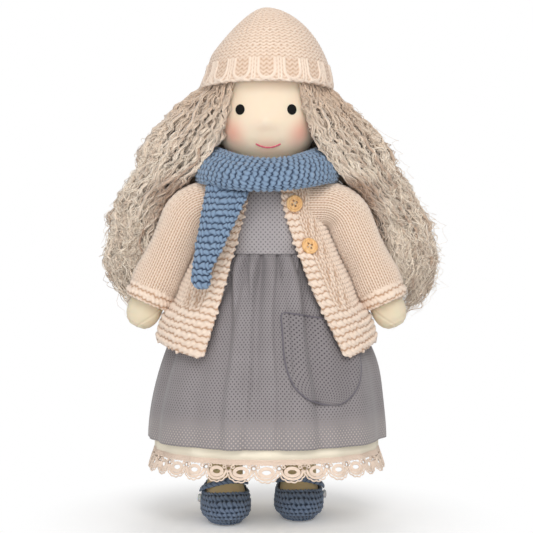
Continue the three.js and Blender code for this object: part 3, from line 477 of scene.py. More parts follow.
def headPlace(u, v):
    lowest, neck = head["neckAngle"], head["neckShare"]
    angle = lowest + (math.pi - lowest) * clamp((v - neck) / (1 - neck))
    z = head["middle"] - head["halfHeight"] * np.cos(angle)
    radius = headRadiusAt(z)
    inNeck = v < neck
    neckTop = head["middle"] - head["halfHeight"] * math.cos(lowest)
    z = np.where(inNeck, head["neckBottom"] + (neckTop - head["neckBottom"]) * v / neck, z)
    radius = np.where(inNeck, head["neckRadius"], radius)
    x, y = oval(u * turn, radius, radius)
    front = clamp(-y / head["radius"])
    nose, line, smile = head["nose"], head["eyeLine"], head["smile"]
    out = swell(nose, x, z) * np.where(z < nose["height"], np.exp(-((z - nose["height"]) / 5.2) ** 4 * 0.4), 1)
    out = out - line["depth"] * hill(z, line["height"], line["spread"])
    out = out + swell(head["cheek"], np.abs(x) - head["cheek"]["aside"], z)
    for dimple in head["dimplesAt"]:
        out = out + swell(head["dimple"], x - dimple, z)
    aside = x - smile["middle"]
    out = out + swell(smile, aside, z - smile["bow"] * aside ** 2)
    return points(x, y - out * front ** 2, z)


def faceForward(x, z):
    # the face's surface in front, found on the same form as the head
    radius = headRadiusAt(z)
    u = 0.75 + np.arcsin(np.clip(x / radius, -1, 1)) / turn
    level = np.arccos(np.clip(-(z - head["middle"]) / head["halfHeight"], -1, 1))
    lowest, neck = head["neckAngle"], head["neckShare"]
    return headPlace(u, neck + (1 - neck) * (level - lowest) / (math.pi - lowest))


headMesh = cloth("head_stuffed", 144, 120, headPlace, (258, 190), closed=True)
headPiece = addPiece(headMesh, skinJersey, "head", ["head_skin"])

eyes = {
    "places": {"left": 18.5, "right": -19.3}, "height": 305.3, "halfWidth": 3.8, "halfHeight": 3.9, "rise": 1.3,
    "stitch": 0.75, "ridge": 0.06, "inset": 0.1,
}
for side, across in eyes["places"].items():
    shape = bmesh.new()
    bmesh.ops.create_uvsphere(shape, u_segments=48, v_segments=32, radius=1)
    middle = Vector(faceForward(np.array([across]), np.array([eyes["height"]]))[0])
    aside = Matrix.Rotation(math.asin(across / head["radius"]), 3, "Z")
    for vert in shape.verts:
        x, y, z = vert.co
        ridged = 1 + eyes["ridge"] * math.cos(turn * z * eyes["halfHeight"] / eyes["stitch"])
        local = Vector((x * eyes["halfWidth"], y * eyes["rise"] * ridged - eyes["inset"], z * eyes["halfHeight"]))
        vert.co = (middle + aside @ local) * mm
    mesh = meshFrom(shape, "eye_satin_" + side)
    mesh.shade_smooth()
    addPiece(mesh, eyeThread, "head", ["eye_" + side])

mouth = {"middle": 1.2, "width": 18.4, "height": 278.0, "rise": 2.7, "stitches": 5, "radius": 0.62, "lift": 0.35}
share = np.linspace(-1, 1, 41)
mouthPath = faceForward(mouth["middle"] + share * mouth["width"] / 2, mouth["height"] + mouth["rise"] * share ** 2)
mouthPath[:, 1] -= mouth["lift"]
stitchSwell = np.abs(np.sin(np.pi * mouth["stitches"] * (share + 1) / 2)) ** 0.35
mouthRadii = mouth["radius"] * (0.62 + 0.38 * stitchSwell)
mouthMesh = strands("mouth_stitch", mouthPath[None], mouthRadii[None], sides=8)
addPiece(mouthMesh, mouthThread, "head", ["mouth"])
print("head made")

# Arms

arm = {
    "root": 36.9, "height": 238.0, "forward": -3.0, "straight": 5.6, "bend": 22.0, "bendAngle": math.radians(66),
    "length": 118.6, "wrist": 90.0, "seamHalfWidth": 0.8,
    "rows": [    # length along the arm, across the palm, through it
        (0, 12.4, 12.4), (31, 12.4, 12.4), (66, 12.0, 11.8), (90, 12.2, 10.8), (99, 13.0, 10.6), (107, 12.8, 10.2),
        (113, 10.8, 8.8), (116.5, 7.6, 6.4), (118.2, 3.6, 3.0), (118.6, 0, 0),
    ],
}
bendLength = arm["bend"] * arm["bendAngle"]


def armLine(length, side):
    turned = np.clip(length - arm["straight"], 0, bendLength) / arm["bend"]
    rest = np.maximum(length - arm["straight"] - bendLength, 0)
    x = arm["root"] + np.minimum(length, arm["straight"]) + arm["bend"] * np.sin(turned) + rest * np.cos(turned)
    z = arm["height"] - arm["bend"] * (1 - np.cos(turned)) - rest * np.sin(turned)
    return side * x, z, turned


def roundArm(u, length, side, across, through):
    x, z, turned = armLine(length, side)
    angle = u * turn
    return points(
        x + side * np.sin(turned) * across * np.cos(angle),
        arm["forward"] - side * through * np.sin(angle),
        z + np.cos(turned) * across * np.cos(angle),
    )


def alongArm(v):
    return arm["length"] * (1 - (1 - v) ** 1.5)    # with closer rows towards the fingertips


def armPlace(side, u, v):
    length = alongArm(v)
    across, through = smoothRead(arm["rows"], length)
    return roundArm(u, length, side, across, through)


def armSeam(side, u, v):
    # a seam along the hand's inner side, sunk between two soft ridges, that turns forward towards the fingertips
    length = alongArm(v)
    seam = 0.5 - side * (0.06 + 0.17 * clamp((length - 95) / 22))
    away = (u - seam) * turn * 12
    sunk = hill(away, 0, arm["seamHalfWidth"])
    return np.where(length > arm["wrist"], 0.5 * hill(np.abs(away), 1.8, 1) - sunk, 0)


for side, word in bothSides:
    place, seam = partial(armPlace, side), partial(armSeam, side)
    mesh = cloth("arm_stuffed_" + word, 96, 110, place, (78, 118), seam, 0.35, closed=True)
    piece = addPiece(mesh, handJersey, "arm_" + word, [f"arm_{word}_skin"])

# Knitted sleeves and cuffs

sleeve = {"start": -6.0, "end": 87.0, "radius": 16.4, "stitches": 28, "rows": 36, "lift": 1.5}
cuff = {"end": 97.5, "radius": 16.9, "bumps": 31, "ridges": 2.5, "lift": 1.9, "outside": 0.7}


def sleevePlace(side, u, v):
    length = sleeve["start"] + (sleeve["end"] - sleeve["start"]) * v
    radius = sleeve["radius"] + 0.5 * np.sin(turn * (2 * u + 1.3 * v)) * v + 0.35 * np.sin(turn * (3 * u - 2 * v))
    radius = radius + 0.9 * hill(length, 80, 9)    # fuller above the cuff
    return roundArm(u, length, side, radius, radius)


def sleeveRelief(u, v):
    return stockinette(u * sleeve["stitches"], v * sleeve["rows"])


def cuffPlace(side, u, v):
    end, wide = cuff["end"], cuff["radius"]
    rows = [
        (0, sleeve["end"] - 1.5, wide - 0.6), (0.25, 90, wide), (0.62, end - 0.6, wide),
        (cuff["outside"], end, wide - 1), (0.78, end - 0.6, wide - 2.4), (1, 89, 13.4),
    ]
    length, radius = smoothRead(rows, v)
    return roundArm(u, length, side, radius, radius)


def cuffRelief(u, v):
    ridges = garter(u * cuff["bumps"], np.minimum(v / cuff["outside"], 1) * cuff["ridges"])
    return ridges * (v < cuff["outside"])


for side, word in bothSides:
    columns, rows, place = 6 * sleeve["stitches"], 4 * sleeve["rows"], partial(sleevePlace, side)
    mesh = cloth("sleeve_knit_" + word, columns, rows, place, (104, 85), sleeveRelief, sleeve["lift"], closed=True)
    addPiece(mesh, creamYarn, "arm_" + word, ["sleeve_" + word])
    columns, place = 5 * cuff["bumps"], partial(cuffPlace, side)
    mesh = cloth("cuff_garter_" + word, columns, 30, place, (108, 16), cuffRelief, cuff["lift"], closed=True)
    addPiece(mesh, creamYarn, "arm_" + word, ["cuff_" + word])
print("arms made")

# Dress: bodice, gathered skirt and patch pocket

dress = {
    "cloth": 1.2, "waistRoom": 3.2, "bodiceRoom": 1.6, "bust": 2.2,
    "hem": 62.0, "hemHalfWidth": 89.0, "hemHalfDepth": 78.0, "flare": 1.8, "bodiceTop": 256.0,
    "folds": 10, "foldDepth": 2.2, "gathers": 22, "gatherDepth": 4.8,
    "frontFolds": [    # across at the waist and at the hem, depth, half width at the waist and at the hem, steep side
        (-27, -37, 7.5, 5.0, 8.0, 1), (-13.6, -18, 4.4, 2.0, 4.0, 1), (-4, -11, 7.5, 3.4, 6.5, -1),
        (8.1, 10, 5.4, 2.4, 4.6, -1), (16, 21, 3.4, 2.0, 4.0, -1), (26, 43, 8.5, 4.6, 9.0, -1),
    ],
    "foldSides": (0.38, 1.35),    # how wide a fold's steep side and its other side are
    "sideFolds": [    # angle in degrees, depth, half width in degrees
        (-158, 4.0, 7), (-22, 3.0, 7), (12, 4.0, 8), (40, 4.0, 8), (70, 4.0, 7), (98, 4.5, 8), (128, 4.0, 8),
        (160, 4.0, 7),
    ],
    "bulge": {"depth": 4.0, "height": 122.0, "halfHeight": 26.0},
}


def downSkirt(z):
    return clamp((body["waist"] - z) / (body["waist"] - dress["hem"]))    # 0 at the waist, 1 at the hem


def skirtSize(z):
    width, depth = smoothRead(body["torso"], np.full_like(np.asarray(z, float), body["waist"])) + dress["waistRoom"]
    flare = 1 - (1 - downSkirt(z)) ** dress["flare"]
    return width + (dress["hemHalfWidth"] - width) * flare, depth + (dress["hemHalfDepth"] - depth) * flare


def foldRoom(z):
    return dress["foldDepth"] * np.sqrt(downSkirt(z))


def skirtFolds(angle, z):
    down = np.clip(body["waist"] - z, 0, None)
    drift = 0.35 * np.sin(3 * angle + 1) + 0.25 * np.sin(7 * angle)
    main = np.cos(dress["folds"] * angle) * (0.75 + drift) + 0.22 * np.cos(2 * dress["folds"] * angle + 2 + drift)
    # gathers that fade downwards, plainer under the cardigan than in its opening
    gathers = np.abs(np.sin(dress["gathers"] / 2 * (angle + 1.64 + 0.05 * drift))) ** 0.85
    inOpening = clamp(-np.sin(angle) * 6 - 4.2)
    gathers = (gathers - 1) * dress["gatherDepth"] + inOpening * 3.8 * gathers
    gathers = gathers * (0.7 * np.exp(-down / 30) + 0.3 * np.exp(-down / 80)) * clamp(0.3 + down / 4)
    # the folds listed one by one, in front and at the sides
    share = downSkirt(z)
    across = skirtSize(z)[0] * np.cos(angle)
    inFront = clamp(-np.sin(angle) * 4)
    sunk = 0
    for top, bottom, depth, narrow, wide, steep in dress["frontFolds"]:
        half = narrow + (wide - narrow) * share
        away = across - top - (bottom - top) * share - 1.2 * np.sin(down / 17 + top) - 0.5 * steep * half
        half = half * np.where(away * steep > 0, *dress["foldSides"])
        sunk = sunk + depth * hill(away, 0, half) * inFront
    degrees = np.degrees((angle + math.pi) % turn - math.pi)
    for middle, depth, half in dress["sideFolds"]:
        away = (degrees - middle - 3 * np.sin(down / 50) + 180) % 360 - 180
        sunk = sunk + depth * hill(away, 0, half * (0.7 + 0.6 * share))
    sunk = (sunk * clamp(down / 16) - 1.6 * inOpening * clamp(down / 12)) * (1 - 0.62 * share ** 0.8)
    form = dress["bulge"]
    bulge = form["depth"] * hill(z, form["height"], form["halfHeight"]) * clamp(np.cos(angle)) ** 2
    return foldRoom(z) * main + gathers - sunk + bulge


def skirtPlace(u, v):
    z = dress["hem"] + (body["waist"] - 0.4 - dress["hem"]) * v
    width, depth = skirtSize(z)
    angle = u * turn
    out = skirtFolds(angle, z)
    return ring(angle, width + out, depth + out, z)


skirtMesh = cloth("skirt_gathered", 330, 78, skirtPlace, (556, 150), closed=True)
skirt = addPiece(skirtMesh, dressKnit, "torso", ["dress_skirt"])
thicken(skirt, dress["cloth"])


def bodicePlace(u, v):
    z = body["waist"] - 0.4 + (dress["bodiceTop"] - body["waist"] + 0.4) * v
    width, depth = smoothRead(body["torso"], z)
    room = dress["bodiceRoom"] + 1.3 * hill(z, body["waist"], 1.6)    # with the waist seam's ridge
    full = dress["bust"] * clamp(-np.sin(u * turn)) ** 3 * clamp((250 - z) / 12)
    return ring(u * turn, width + room, depth + room + full, z)


bodiceMesh = cloth("bodice_fitted", 110, 36, bodicePlace, (200, 58), closed=True)
bodice = addPiece(bodiceMesh, bodiceKnit, "torso", ["dress_bodice"])
thicken(bodice, dress["cloth"])

pocket = {
    "halfWidth": 28.5, "height": 61.0, "topBelowWaist": 46.5, "turned": 32.5, "tilt": 10.0, "corner": 5.0,
    "round": 40.0, "cloth": 1.0,
    "seam": {"points": 220, "out": 0.006, "radius": 0.42, "swell": 0.22, "stitch": 1.6},
}


def pocketPlace(u, v):
    # u runs across and v up a patch with a round bottom, then both are tilted and laid on the skirt
    half, height = pocket["halfWidth"], pocket["height"]
    up = v * height
    inRound = clamp(up / pocket["round"])
    room = half * np.clip(1 - (1 - inRound) ** 2.5, 0.0004, 1) ** (1 / 2.5)
    nearTop = clamp((up - height + pocket["corner"]) / pocket["corner"])
    room = room - pocket["corner"] * 0.5 * (1 - np.sqrt(1 - np.minimum(nearTop, 0.999) ** 2))
    across = (2 * u - 1) * room
    up = up - height / 2
    tilt = math.radians(pocket["tilt"])
    aside = across * math.cos(tilt) + up * math.sin(tilt)
    rise = up * math.cos(tilt) - across * math.sin(tilt)
    z = body["waist"] - pocket["topBelowWaist"] - height / 2 + rise
    width, depth = skirtSize(z)
    middle = math.radians(pocket["turned"] - 90)
    radius = np.sqrt((width * math.cos(middle)) ** 2 + (depth * math.sin(middle)) ** 2)
    angle = middle + aside / radius
    edge = clamp(np.minimum(1 - np.abs(2 * u - 1), 1) * room / 2.5) * clamp(v * height / 2.5)
    puff = 0.9 + 1.7 * np.sqrt(edge) + 0.8 * nearTop * np.cos(np.pi * (u - 0.5))
    out = skirtFolds(angle, z) + puff
    return ring(angle, width + out, depth + out, z)


pocketMesh = cloth("pocket_patch", 70, 76, pocketPlace, (58, 66))
pocketPiece = addPiece(pocketMesh, pocketKnit, "torso", ["dress_pocket"])
thicken(pocketPiece, pocket["cloth"])
# the grey overcast seam runs down the sides and along the bottom; along the top edge the same thread is a painted
# shadow line under the edge
rimU = np.concatenate([np.zeros(40), np.linspace(0, 1, 60), np.ones(40), np.linspace(1, 0, 60)])
rimV = np.concatenate([np.linspace(1, 0, 40), np.zeros(60), np.linspace(0, 1, 40), np.ones(60)])
rim, seam = pocketPlace(rimU, rimV), pocket["seam"]
rim = rim + points(rim[:, 0], rim[:, 1], 0) * seam["out"]
apart = np.concatenate([[0], np.cumsum(np.linalg.norm(np.diff(rim, axis=0), axis=1))])
even = np.linspace(0, apart[-1], seam["points"])
rim = np.stack([np.interp(even, apart, rim[:, i]) for i in range(3)], 1)
rimRadii = seam["radius"] + seam["swell"] * np.abs(np.sin(np.pi * even / seam["stitch"]))
rimMesh = strands("pocket_overcast_and_shadow_line", rim[None], rimRadii[None], sides=6)
addPiece(rimMesh, seamThread, "torso", [])
print("dress made")

# Petticoat and its crochet lace

petticoat = {
    "top": 199.0, "hem": 55.0, "under": 4.8, "deeper": 5.4, "ruffles": 20, "topRuffles": 40, "ruffleDepth": 0.7,
    "cloth": 1.2, "waistRoom": 0.6, "fitted": 14.0,    # how far below the waist it is drawn to the body
}


def petticoatSize(z):
    width, depth = skirtSize(z)
    waist = smoothRead(body["torso"], z) + petticoat["waistRoom"]
    near = clamp(1 - (body["waist"] - z) / petticoat["fitted"])
    under = petticoat["under"] + petticoat["deeper"] * clamp((z - dress["hem"]) / 30)    # clear of the folds
    return (width - under) * (1 - near) + waist[0] * near, (depth - under) * (1 - near) + waist[1] * near


def petticoatPlace(u, v):
    z = petticoat["hem"] + (petticoat["top"] - petticoat["hem"]) * v
    width, depth = petticoatSize(z)
    angle = u * turn
    ruffles = np.cos(petticoat["ruffles"] * angle) * (1 - v) + np.cos(petticoat["topRuffles"] * angle) * v
    out = petticoat["ruffleDepth"] * ruffles
    return ring(angle, width + out, depth + out, z)


petticoatMesh = cloth("petticoat_cotton", 240, 40, petticoatPlace, (528, 150), closed=True)
petticoatPiece = addPiece(petticoatMesh, petticoatCotton, "torso", ["petticoat"])
thicken(petticoatPiece, petticoat["cloth"])

lace = {"length": 530.0, "scallops": 30, "top": 55.2, "drop": 16.5, "flare": 5.5, "thread": 0.56}


def lacePlace(s, drop):
    # s runs round the hem from 0 to 1 and drop is below the lace's upper edge
    z = lace["top"] - drop
    width, depth = petticoatSize(np.full_like(np.asarray(s, float), petticoat["hem"]))
    angle = np.asarray(s) * turn
    out = lace["flare"] * drop / lace["drop"] + petticoat["ruffleDepth"] * np.cos(petticoat["ruffles"] * angle) - 0.4
    return ring(angle, width + out, depth + out, z)


def laceMesh():
    pitch = 1 / lace["scallops"]
    half = lace["length"] * pitch / 2    # half of one scallop along the hem
    count = 33    # points in every thread

    def line(x, drop):
        # x in mm from the scallop's middle, resampled so that every thread has as many points
        even = np.linspace(0, len(x) - 1, count)
        return np.interp(even, np.arange(len(x)), x), np.interp(even, np.arange(len(x)), drop)

    motif, paths = [], []
    ripple = np.linspace(0, 14 * np.pi, count)
    for drop in (0.5, 1.5, 2.5, 3.5):    # close rows under the hem
        motif.append(line(np.linspace(-half, half, count), drop + 0.25 * np.sin(ripple)))
    around = np.linspace(0, turn, 49)
    for side in (-1, 1):    # a pair of small holes beside each opening
        motif.append(line(side * half + 1.7 * np.cos(around), 6.1 + 1.5 * np.sin(around)))
        motif.append(line(side * (half - 3.1) + 1.0 * np.cos(around), 5.2 + 0.9 * np.sin(around)))
    for grow in (0.0, 0.85, 1.7):    # the oval opening and the rounds of thread about it
        motif.append(line((3.5 + grow) * np.cos(around), 8.6 + (1.9 + grow * 0.8) * np.sin(around)))
    arc = np.linspace(0.03 * np.pi, 0.97 * np.pi, 97)
    for grow, wave in ((0.0, 0.0), (0.8, 0.0), (1.7, 0.9)):    # the scallop and its picots
        picot = wave * np.abs(np.sin(arc * 6.5)) ** 0.7
        reach = half - 1.9 + grow + picot
        motif.append(line(-reach * np.cos(arc), 6.4 + (6.6 + grow + picot) * np.sin(arc) ** 0.85))
    for i in range(lace["scallops"]):
        for x, drop in motif:
            paths.append(lacePlace((i + 0.5) * pitch + x / lace["length"], drop))
    paths = np.array(paths)
    return strands("lace_crochet", paths, np.full(paths.shape[:2], lace["thread"]), sides=4)


lacePiece = addPiece(laceMesh(), laceThread, "torso", ["lace_trim"])
print("petticoat made")

# Cardigan: back and two fronts

cardigan = {
    "wall": 2.0, "top": 258.0, "hem": 137.0, "point": 12.0, "seam": -3.0, "lift": 2.1, "room": 4.3,
    "stitch": 4.2, "row": 3.0, "frontStitches": 9, "frontRows": 38, "ridge": 4.8, "bump": 4.0,
    "hemBand": 31.0, "frontBand": 11.0, "bandEdge": 1.2, "bandLift": 1.15,
    "frontSize": (52.0, 128.0), "backSize": (150.0, 122.0),
    "swing": [    # height, how far its sides stand out from the body
        (118, 3), (139, 5), (150, 7), (157, 7), (165, 4.5), (176, 6.6), (190, 9), (196, 10), (202, 12.5), (215, 7),
        (225, 2.6), (232, 0),
    ],
    "cableAt": 20.0, "cableWidth": 7.0, "cablePeriod": 18.0,
    "corner": (6.0, 3.0),    # how high and how far a front's lower corner is rounded
    "edges": [    # height, right front edge, left front edge
        (118, -47, 59), (131.7, -43, 53), (162.5, -34, 38), (198.7, -25, 24), (238.9, -15, 12), (272, -12, 9),
    ],
}


def cardiganRow(z):
    swing = float(smoothRead(cardigan["swing"], z)[0])
    if z > body["waist"] + 6:
        width, depth = smoothRead(body["torso"], z) + cardigan["room"]
        return [z, width + swing, depth]
    width, depth = skirtSize(z)
    room = foldRoom(z) + cardigan["room"]
    return [z, width + room + swing, depth + room]


cardiganRows = [cardiganRow(z) for z in (118.0, 130.0, 142.0, 154.0, 166.0, 176.0, 186.0, 195.0, 208.0, 218.0, 232.0)]
cardiganRows += [(244.0, 41.2, 28.0), (251.0, 38.0, 26.0), (256.0, 30.0, 23.5), (260.0, 21.0, 20.0)]    # shoulders


def frontPlace(side, u, v):
    s = 1 - u if side < 0 else u    # from the front edge to the side seam
    z = cardigan["hem"] + (cardigan["top"] - cardigan["hem"]) * v
    z = z - cardigan["point"] * (1 - s) ** 1.2 * (1 - v)
    width, depth = smoothRead(cardiganRows, z)
    edges = smoothRead(cardigan["edges"], z)
    edge = edges[1] if side > 0 else -edges[0]
    up = v * cardigan["frontSize"][1]
    edge = edge + 0.5 * np.cos(turn * up / cardigan["ridge"]) - 0.5
    rise, cut = cardigan["corner"]
    edge = edge + cut * clamp((rise - up) / rise) ** 2
    front = -np.arccos(np.clip(edge / width, -1, 1))
    back = -np.arcsin(-cardigan["seam"] / depth)
    angle = front * (1 - s) + back * s
    x, y = oval(angle, width, depth)
    away = 1.2 * (1 - s) ** 3 * clamp((200 - z) / 60)
    return points(side * (x + away * 0.3), y - away, z)


def cable(x, y):
    # how far two ropes of stitches that cross stand out, the one that climbs to the right always over the other
    part = turn * y / (2 * cardigan["cablePeriod"])
    under, bulge = 0, 0
    for side in (1, -1):
        middle = side * 0.36 * cardigan["cableWidth"] * np.sin(part)
        over = clamp(side * np.cos(part))
        away = np.abs(x - middle) / (0.5 * cardigan["cableWidth"])
        under = np.maximum(under, over * hill(away, 1, 0.3))
        bulge = np.maximum(bulge, (0.5 + 0.5 * over) * clamp(1 - away ** 2))
    return (0.6 + 0.4 * bulge) * (1 - 0.65 * under)


def bands(x, y):
    # the garter ridges that run along the front edges and the hem
    return garter(x / cardigan["bump"], y / cardigan["ridge"]) * cardigan["bandLift"]


def frontRelief(side, u, v):
    s = 1 - u if side < 0 else u
    width, height = cardigan["frontSize"]
    x, y = s * width * (1 - 0.12 * v), v * height
    plain = stockinette(s * cardigan["frontStitches"], v * cardigan["frontRows"])
    banded = clamp((cardigan["frontBand"] - x) / cardigan["bandEdge"])
    hemmed = clamp((cardigan["hemBand"] - y) / cardigan["bandEdge"])
    inBand = np.maximum(banded, hemmed)
    near = np.exp(-((x - cardigan["cableAt"]) / (cardigan["cableWidth"] * 1.15)) ** 4)
    knit = plain * (1 - near + near * cable(x - cardigan["cableAt"], y))
    return knit * (1 - inBand) + bands(x, y) * inBand


for side, word in bothSides:
    columns, rows = 10 * cardigan["frontStitches"], 5 * cardigan["frontRows"]
    place, relief = partial(frontPlace, side), partial(frontRelief, side)
    mesh = cloth("cardigan_knit_" + word, columns, rows, place, (50, 128), relief, cardigan["lift"])
    thicken(addPiece(mesh, creamYarn, "torso", ["cardigan_front_" + word]), cardigan["wall"])


def backPlace(u, v):
    z = cardigan["hem"] + (cardigan["top"] - cardigan["hem"]) * v
    width, depth = smoothRead(cardiganRows, z)
    side = -np.arcsin(-cardigan["seam"] / depth)
    angle = side + u * (math.pi - 2 * side)
    return ring(angle, width, depth, z)


def backRelief(u, v):
    x, y = u * cardigan["backSize"][0], v * cardigan["backSize"][1]
    hemmed = clamp((cardigan["hemBand"] - y) / cardigan["bandEdge"])
    return stockinette(x / cardigan["stitch"], y / cardigan["row"]) * (1 - hemmed) + bands(x, y) * hemmed


backMesh = cloth("cardigan_knit_back", 160, 110, backPlace, cardigan["backSize"], backRelief, cardigan["lift"])
thicken(addPiece(backMesh, creamYarn, "torso", ["cardigan_back"]), cardigan["wall"])
print("cardigan made")

# Wooden buttons and their thread

button = {
    "radius": 6.3, "thick": 2.6, "dish": 1.0, "rim": 1.6, "hole": 0.95, "holeSpread": 1.95, "thread": 0.24,
    "bevel": 0.12, "turned": 0.07,
    "threads": ((0.35, 0.68), (0.6, 0.72)),    # how far each rises, and how near to the holes it ends
}


def turnedDisc(radius, thick, dish, rim):
    # a profile spun round its axis: a rounded rim about a sunk middle
    shape = bmesh.new()
    inner, low = radius - rim, thick - dish
    profile = [
        (0, 0), (radius - 0.7, 0), (radius - 0.2, 0.25), (radius, 0.8), (radius, thick - 0.8),
        (radius - 0.3, thick - 0.25), (radius - 0.8, thick), (inner + 0.2, thick - 0.1), (inner - 0.05, low),
        (inner - 0.4, thick - dish * 1.25), (inner - 0.9, low), (0, low),
    ]
    verts = [shape.verts.new((x, 0, z)) for x, z in profile]
    edges = [shape.edges.new(pair) for pair in zip(verts, verts[1:])]
    bmesh.ops.spin(shape, geom=verts + edges, cent=(0, 0, 0), axis=(0, 0, 1), angle=turn, steps=40, use_merge=True)
    bmesh.ops.remove_doubles(shape, verts=shape.verts, dist=1e-4)
    bmesh.ops.recalc_face_normals(shape, faces=shape.faces)
    bmesh.ops.scale(shape, vec=(mm, mm, mm), verts=shape.verts)
    return shape


def facingPlace(middle, facing):
    # the matrix that turns Z to the way a button faces and puts it in place, in metres
    matrix = facing.to_track_quat("Z", "Y").to_matrix().to_4x4()
    matrix.translation = middle
    return matrix


def seatOn(node, forward):
    # the middle of a sewn-on button and the way it faces, from its CAD solid and the cardigan under it
    low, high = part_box(node)
    middle = (low + high) / 2 / mm
    step = 2.0
    z = np.array([middle.z, middle.z, middle.z + step, middle.z - step])
    x = np.array([middle.x + step, middle.x - step, middle.x, middle.x])
    width, depth = smoothRead(cardiganRows, z)
    surface = points(x, -depth * np.sqrt(1 - (x / width) ** 2), z)
    facing = Vector(np.cross(surface[0] - surface[1], surface[2] - surface[3])).normalized()
    middle.y = surface[:, 1].mean()
    return middle + facing * forward, facing


def drilled(name, mesh, places, radius, depth):
    # drills round holes by a boolean with small cylinders
    tool = bmesh.new()
    for x, y in places:
        made = bmesh.ops.create_cone(
            tool, cap_ends=True, segments=14, radius1=radius * mm, radius2=radius * mm, depth=depth * mm
        )
        bmesh.ops.translate(tool, verts=made["verts"], vec=(x * mm, y * mm, 0))
    drill, blank = inScene("drill", meshFrom(tool, "drill")), inScene("blank", mesh)
    cut = blank.modifiers.new("holes", "BOOLEAN")
    cut.operation = "DIFFERENCE"
    cut.object = drill
    cut.solver = "EXACT"
    return bakedMesh(name, blank, drill)


for word in ("top", "bottom"):
    place, facing = seatOn("button_" + word, cardigan["lift"] * 0.8 + button["thick"] / 2)
    shape = turnedDisc(button["radius"], button["thick"], button["dish"], button["rim"])
    bmesh.ops.bevel(
        shape, geom=[e for e in shape.edges if e.calc_face_angle(0) > 0.7], offset=button["bevel"] * mm, segments=2,
        affect="EDGES", profile=0.5, material=-1,
    )
    spread = button["holeSpread"]
    angles = [turn * (i / 4 + button["turned"]) for i in range(4)]
    holes = [(spread * math.cos(a), spread * math.sin(a)) for a in angles]
    mesh = drilled("button_turned_" + word, meshFrom(shape, "button_blank_" + word), holes, button["hole"], depth=12)
    turned = facingPlace((place - facing * (button["thick"] / 2)) * mm, facing)
    mesh.transform(turned)
    mesh.materials.clear()
    mesh.shade_smooth()
    mesh.set_sharp_from_angle(angle=math.radians(40))
    addPiece(mesh, buttonWood, "torso", ["button_" + word])
    level = button["thick"] - button["dish"]
    t = np.linspace(0, 1, 13)
    loops = []
    for a, b in ((holes[0], holes[2]), (holes[1], holes[3])):
        for lift, spreadBy in button["threads"]:
            flatLine = spreadBy * (np.outer(1 - t, a) + np.outer(t, b))
            rise = level - 1.2 + (1.2 + lift) * np.sin(np.pi * t) ** 0.35
            loops.append(np.column_stack([flatLine, rise]))
    loops = np.array(loops) @ np.array(turned.to_3x3()).T + np.array(turned.translation) / mm
    mesh = strands("button_sewing_" + word, loops, np.full(loops.shape[:2], button["thread"]), sides=6)
    addPiece(mesh, sewingThread, "torso", ["button_thread_" + word])
print("buttons made")

# Scarf: the wrap and the loose end

scarf = {
    "radius": 45.0, "halfHeight": 13.4, "halfThickness": 6.2, "lean": math.radians(30), "level": 267.0, "droop": 10.0,
    "ridges": 64, "bumps": 20, "lift": 1.9,
    "tail": [    # height, middle, forward, half width
        (174.6, -46.4, 57.5, 3.0), (176.5, -46.5, 57.5, 5.2), (180.5, -46.6, 57.2, 6.5), (187, -46.4, 56.5, 6.6),
        (197, -43.4, 54.5, 8.6), (216, -37.4, 50, 11.8), (235, -31.5, 42, 14.9), (246, -28.4, 36, 16.6),
        (258, -26, 31, 17),
    ],
    "tailThickness": 2.4, "tailRidge": 4.7, "tailBump": 3.4, "tailTurn": math.radians(16), "tailLift": 1.5,
}


def wrapPlace(u, v):
    angle, section = u * turn, v * turn
    front = clamp(-np.sin(angle))
    level = scarf["level"] - scarf["droop"] * front ** 2
    radius = scarf["radius"] + 0.7 * np.sin(3 * angle + 0.6)
    high = scarf["halfHeight"] * (1 + 0.05 * np.sin(2 * angle + 1))
    through = scarf["halfThickness"] * np.cos(section) * (1 - 0.25 * np.sin(section) ** 2)
    height = high * np.sin(section) * (0.9 + 0.1 * np.abs(np.sin(section)))
    fold = 1.1 * hill(np.sin(section), 0.45, 0.16) * hill(angle, 1.28 * math.pi, 0.5)    # a crease above the end
    through = through - fold * (np.cos(section) > 0)
    out = radius + through * math.cos(scarf["lean"]) - height * math.sin(scarf["lean"])
    z = level + through * math.sin(scarf["lean"]) + height * math.cos(scarf["lean"])
    return ring(angle, out, out, z)


def wrapRelief(u, v):
    return garter(v * scarf["bumps"], u * scarf["ridges"] - 0.9 * np.sin(v * turn), 0.66, 0.9)


columns, rows = 5 * scarf["ridges"], 5 * scarf["bumps"]
wrapMesh = cloth("scarf_wound", columns, rows, wrapPlace, (327, 66), wrapRelief, scarf["lift"], closed=True)
addPiece(wrapMesh, blueYarn, "torso", ["scarf_wrap"])


def upTail(v):
    return (scarf["tail"][-1][0] - scarf["tail"][0][0]) * v ** 1.15    # in mm above its lower tip


def tailPlace(u, v):
    up = upTail(v)
    z = scarf["tail"][0][0] + up
    middle, forward, half = smoothRead(scarf["tail"], z)
    half = half + 0.45 * np.cos(turn * up / scarf["tailRidge"])
    tip = clamp(v / 0.02)
    x, y = oval(u * turn, half * tip, scarf["tailThickness"] * tip, 2.6)
    c, s = math.cos(scarf["tailTurn"]), math.sin(scarf["tailTurn"])
    sway = 0.8 * np.sin(z / 14)
    return points(middle + x * c + y * s, -forward - x * s + y * c + sway, z)


def tailRelief(u, v):
    up = upTail(v)
    half = smoothRead(scarf["tail"], scarf["tail"][0][0] + up)[2]
    return garter(np.cos(u * turn) * half / scarf["tailBump"], up / scarf["tailRidge"], 0.66, 0.9)


tailMesh = cloth("scarf_end", 110, 120, tailPlace, (70, 84), tailRelief, scarf["tailLift"], closed=True)
addPiece(tailMesh, blueYarn, "torso", ["scarf_tail"])
print("scarf made")

# Legs and crocheted shoes

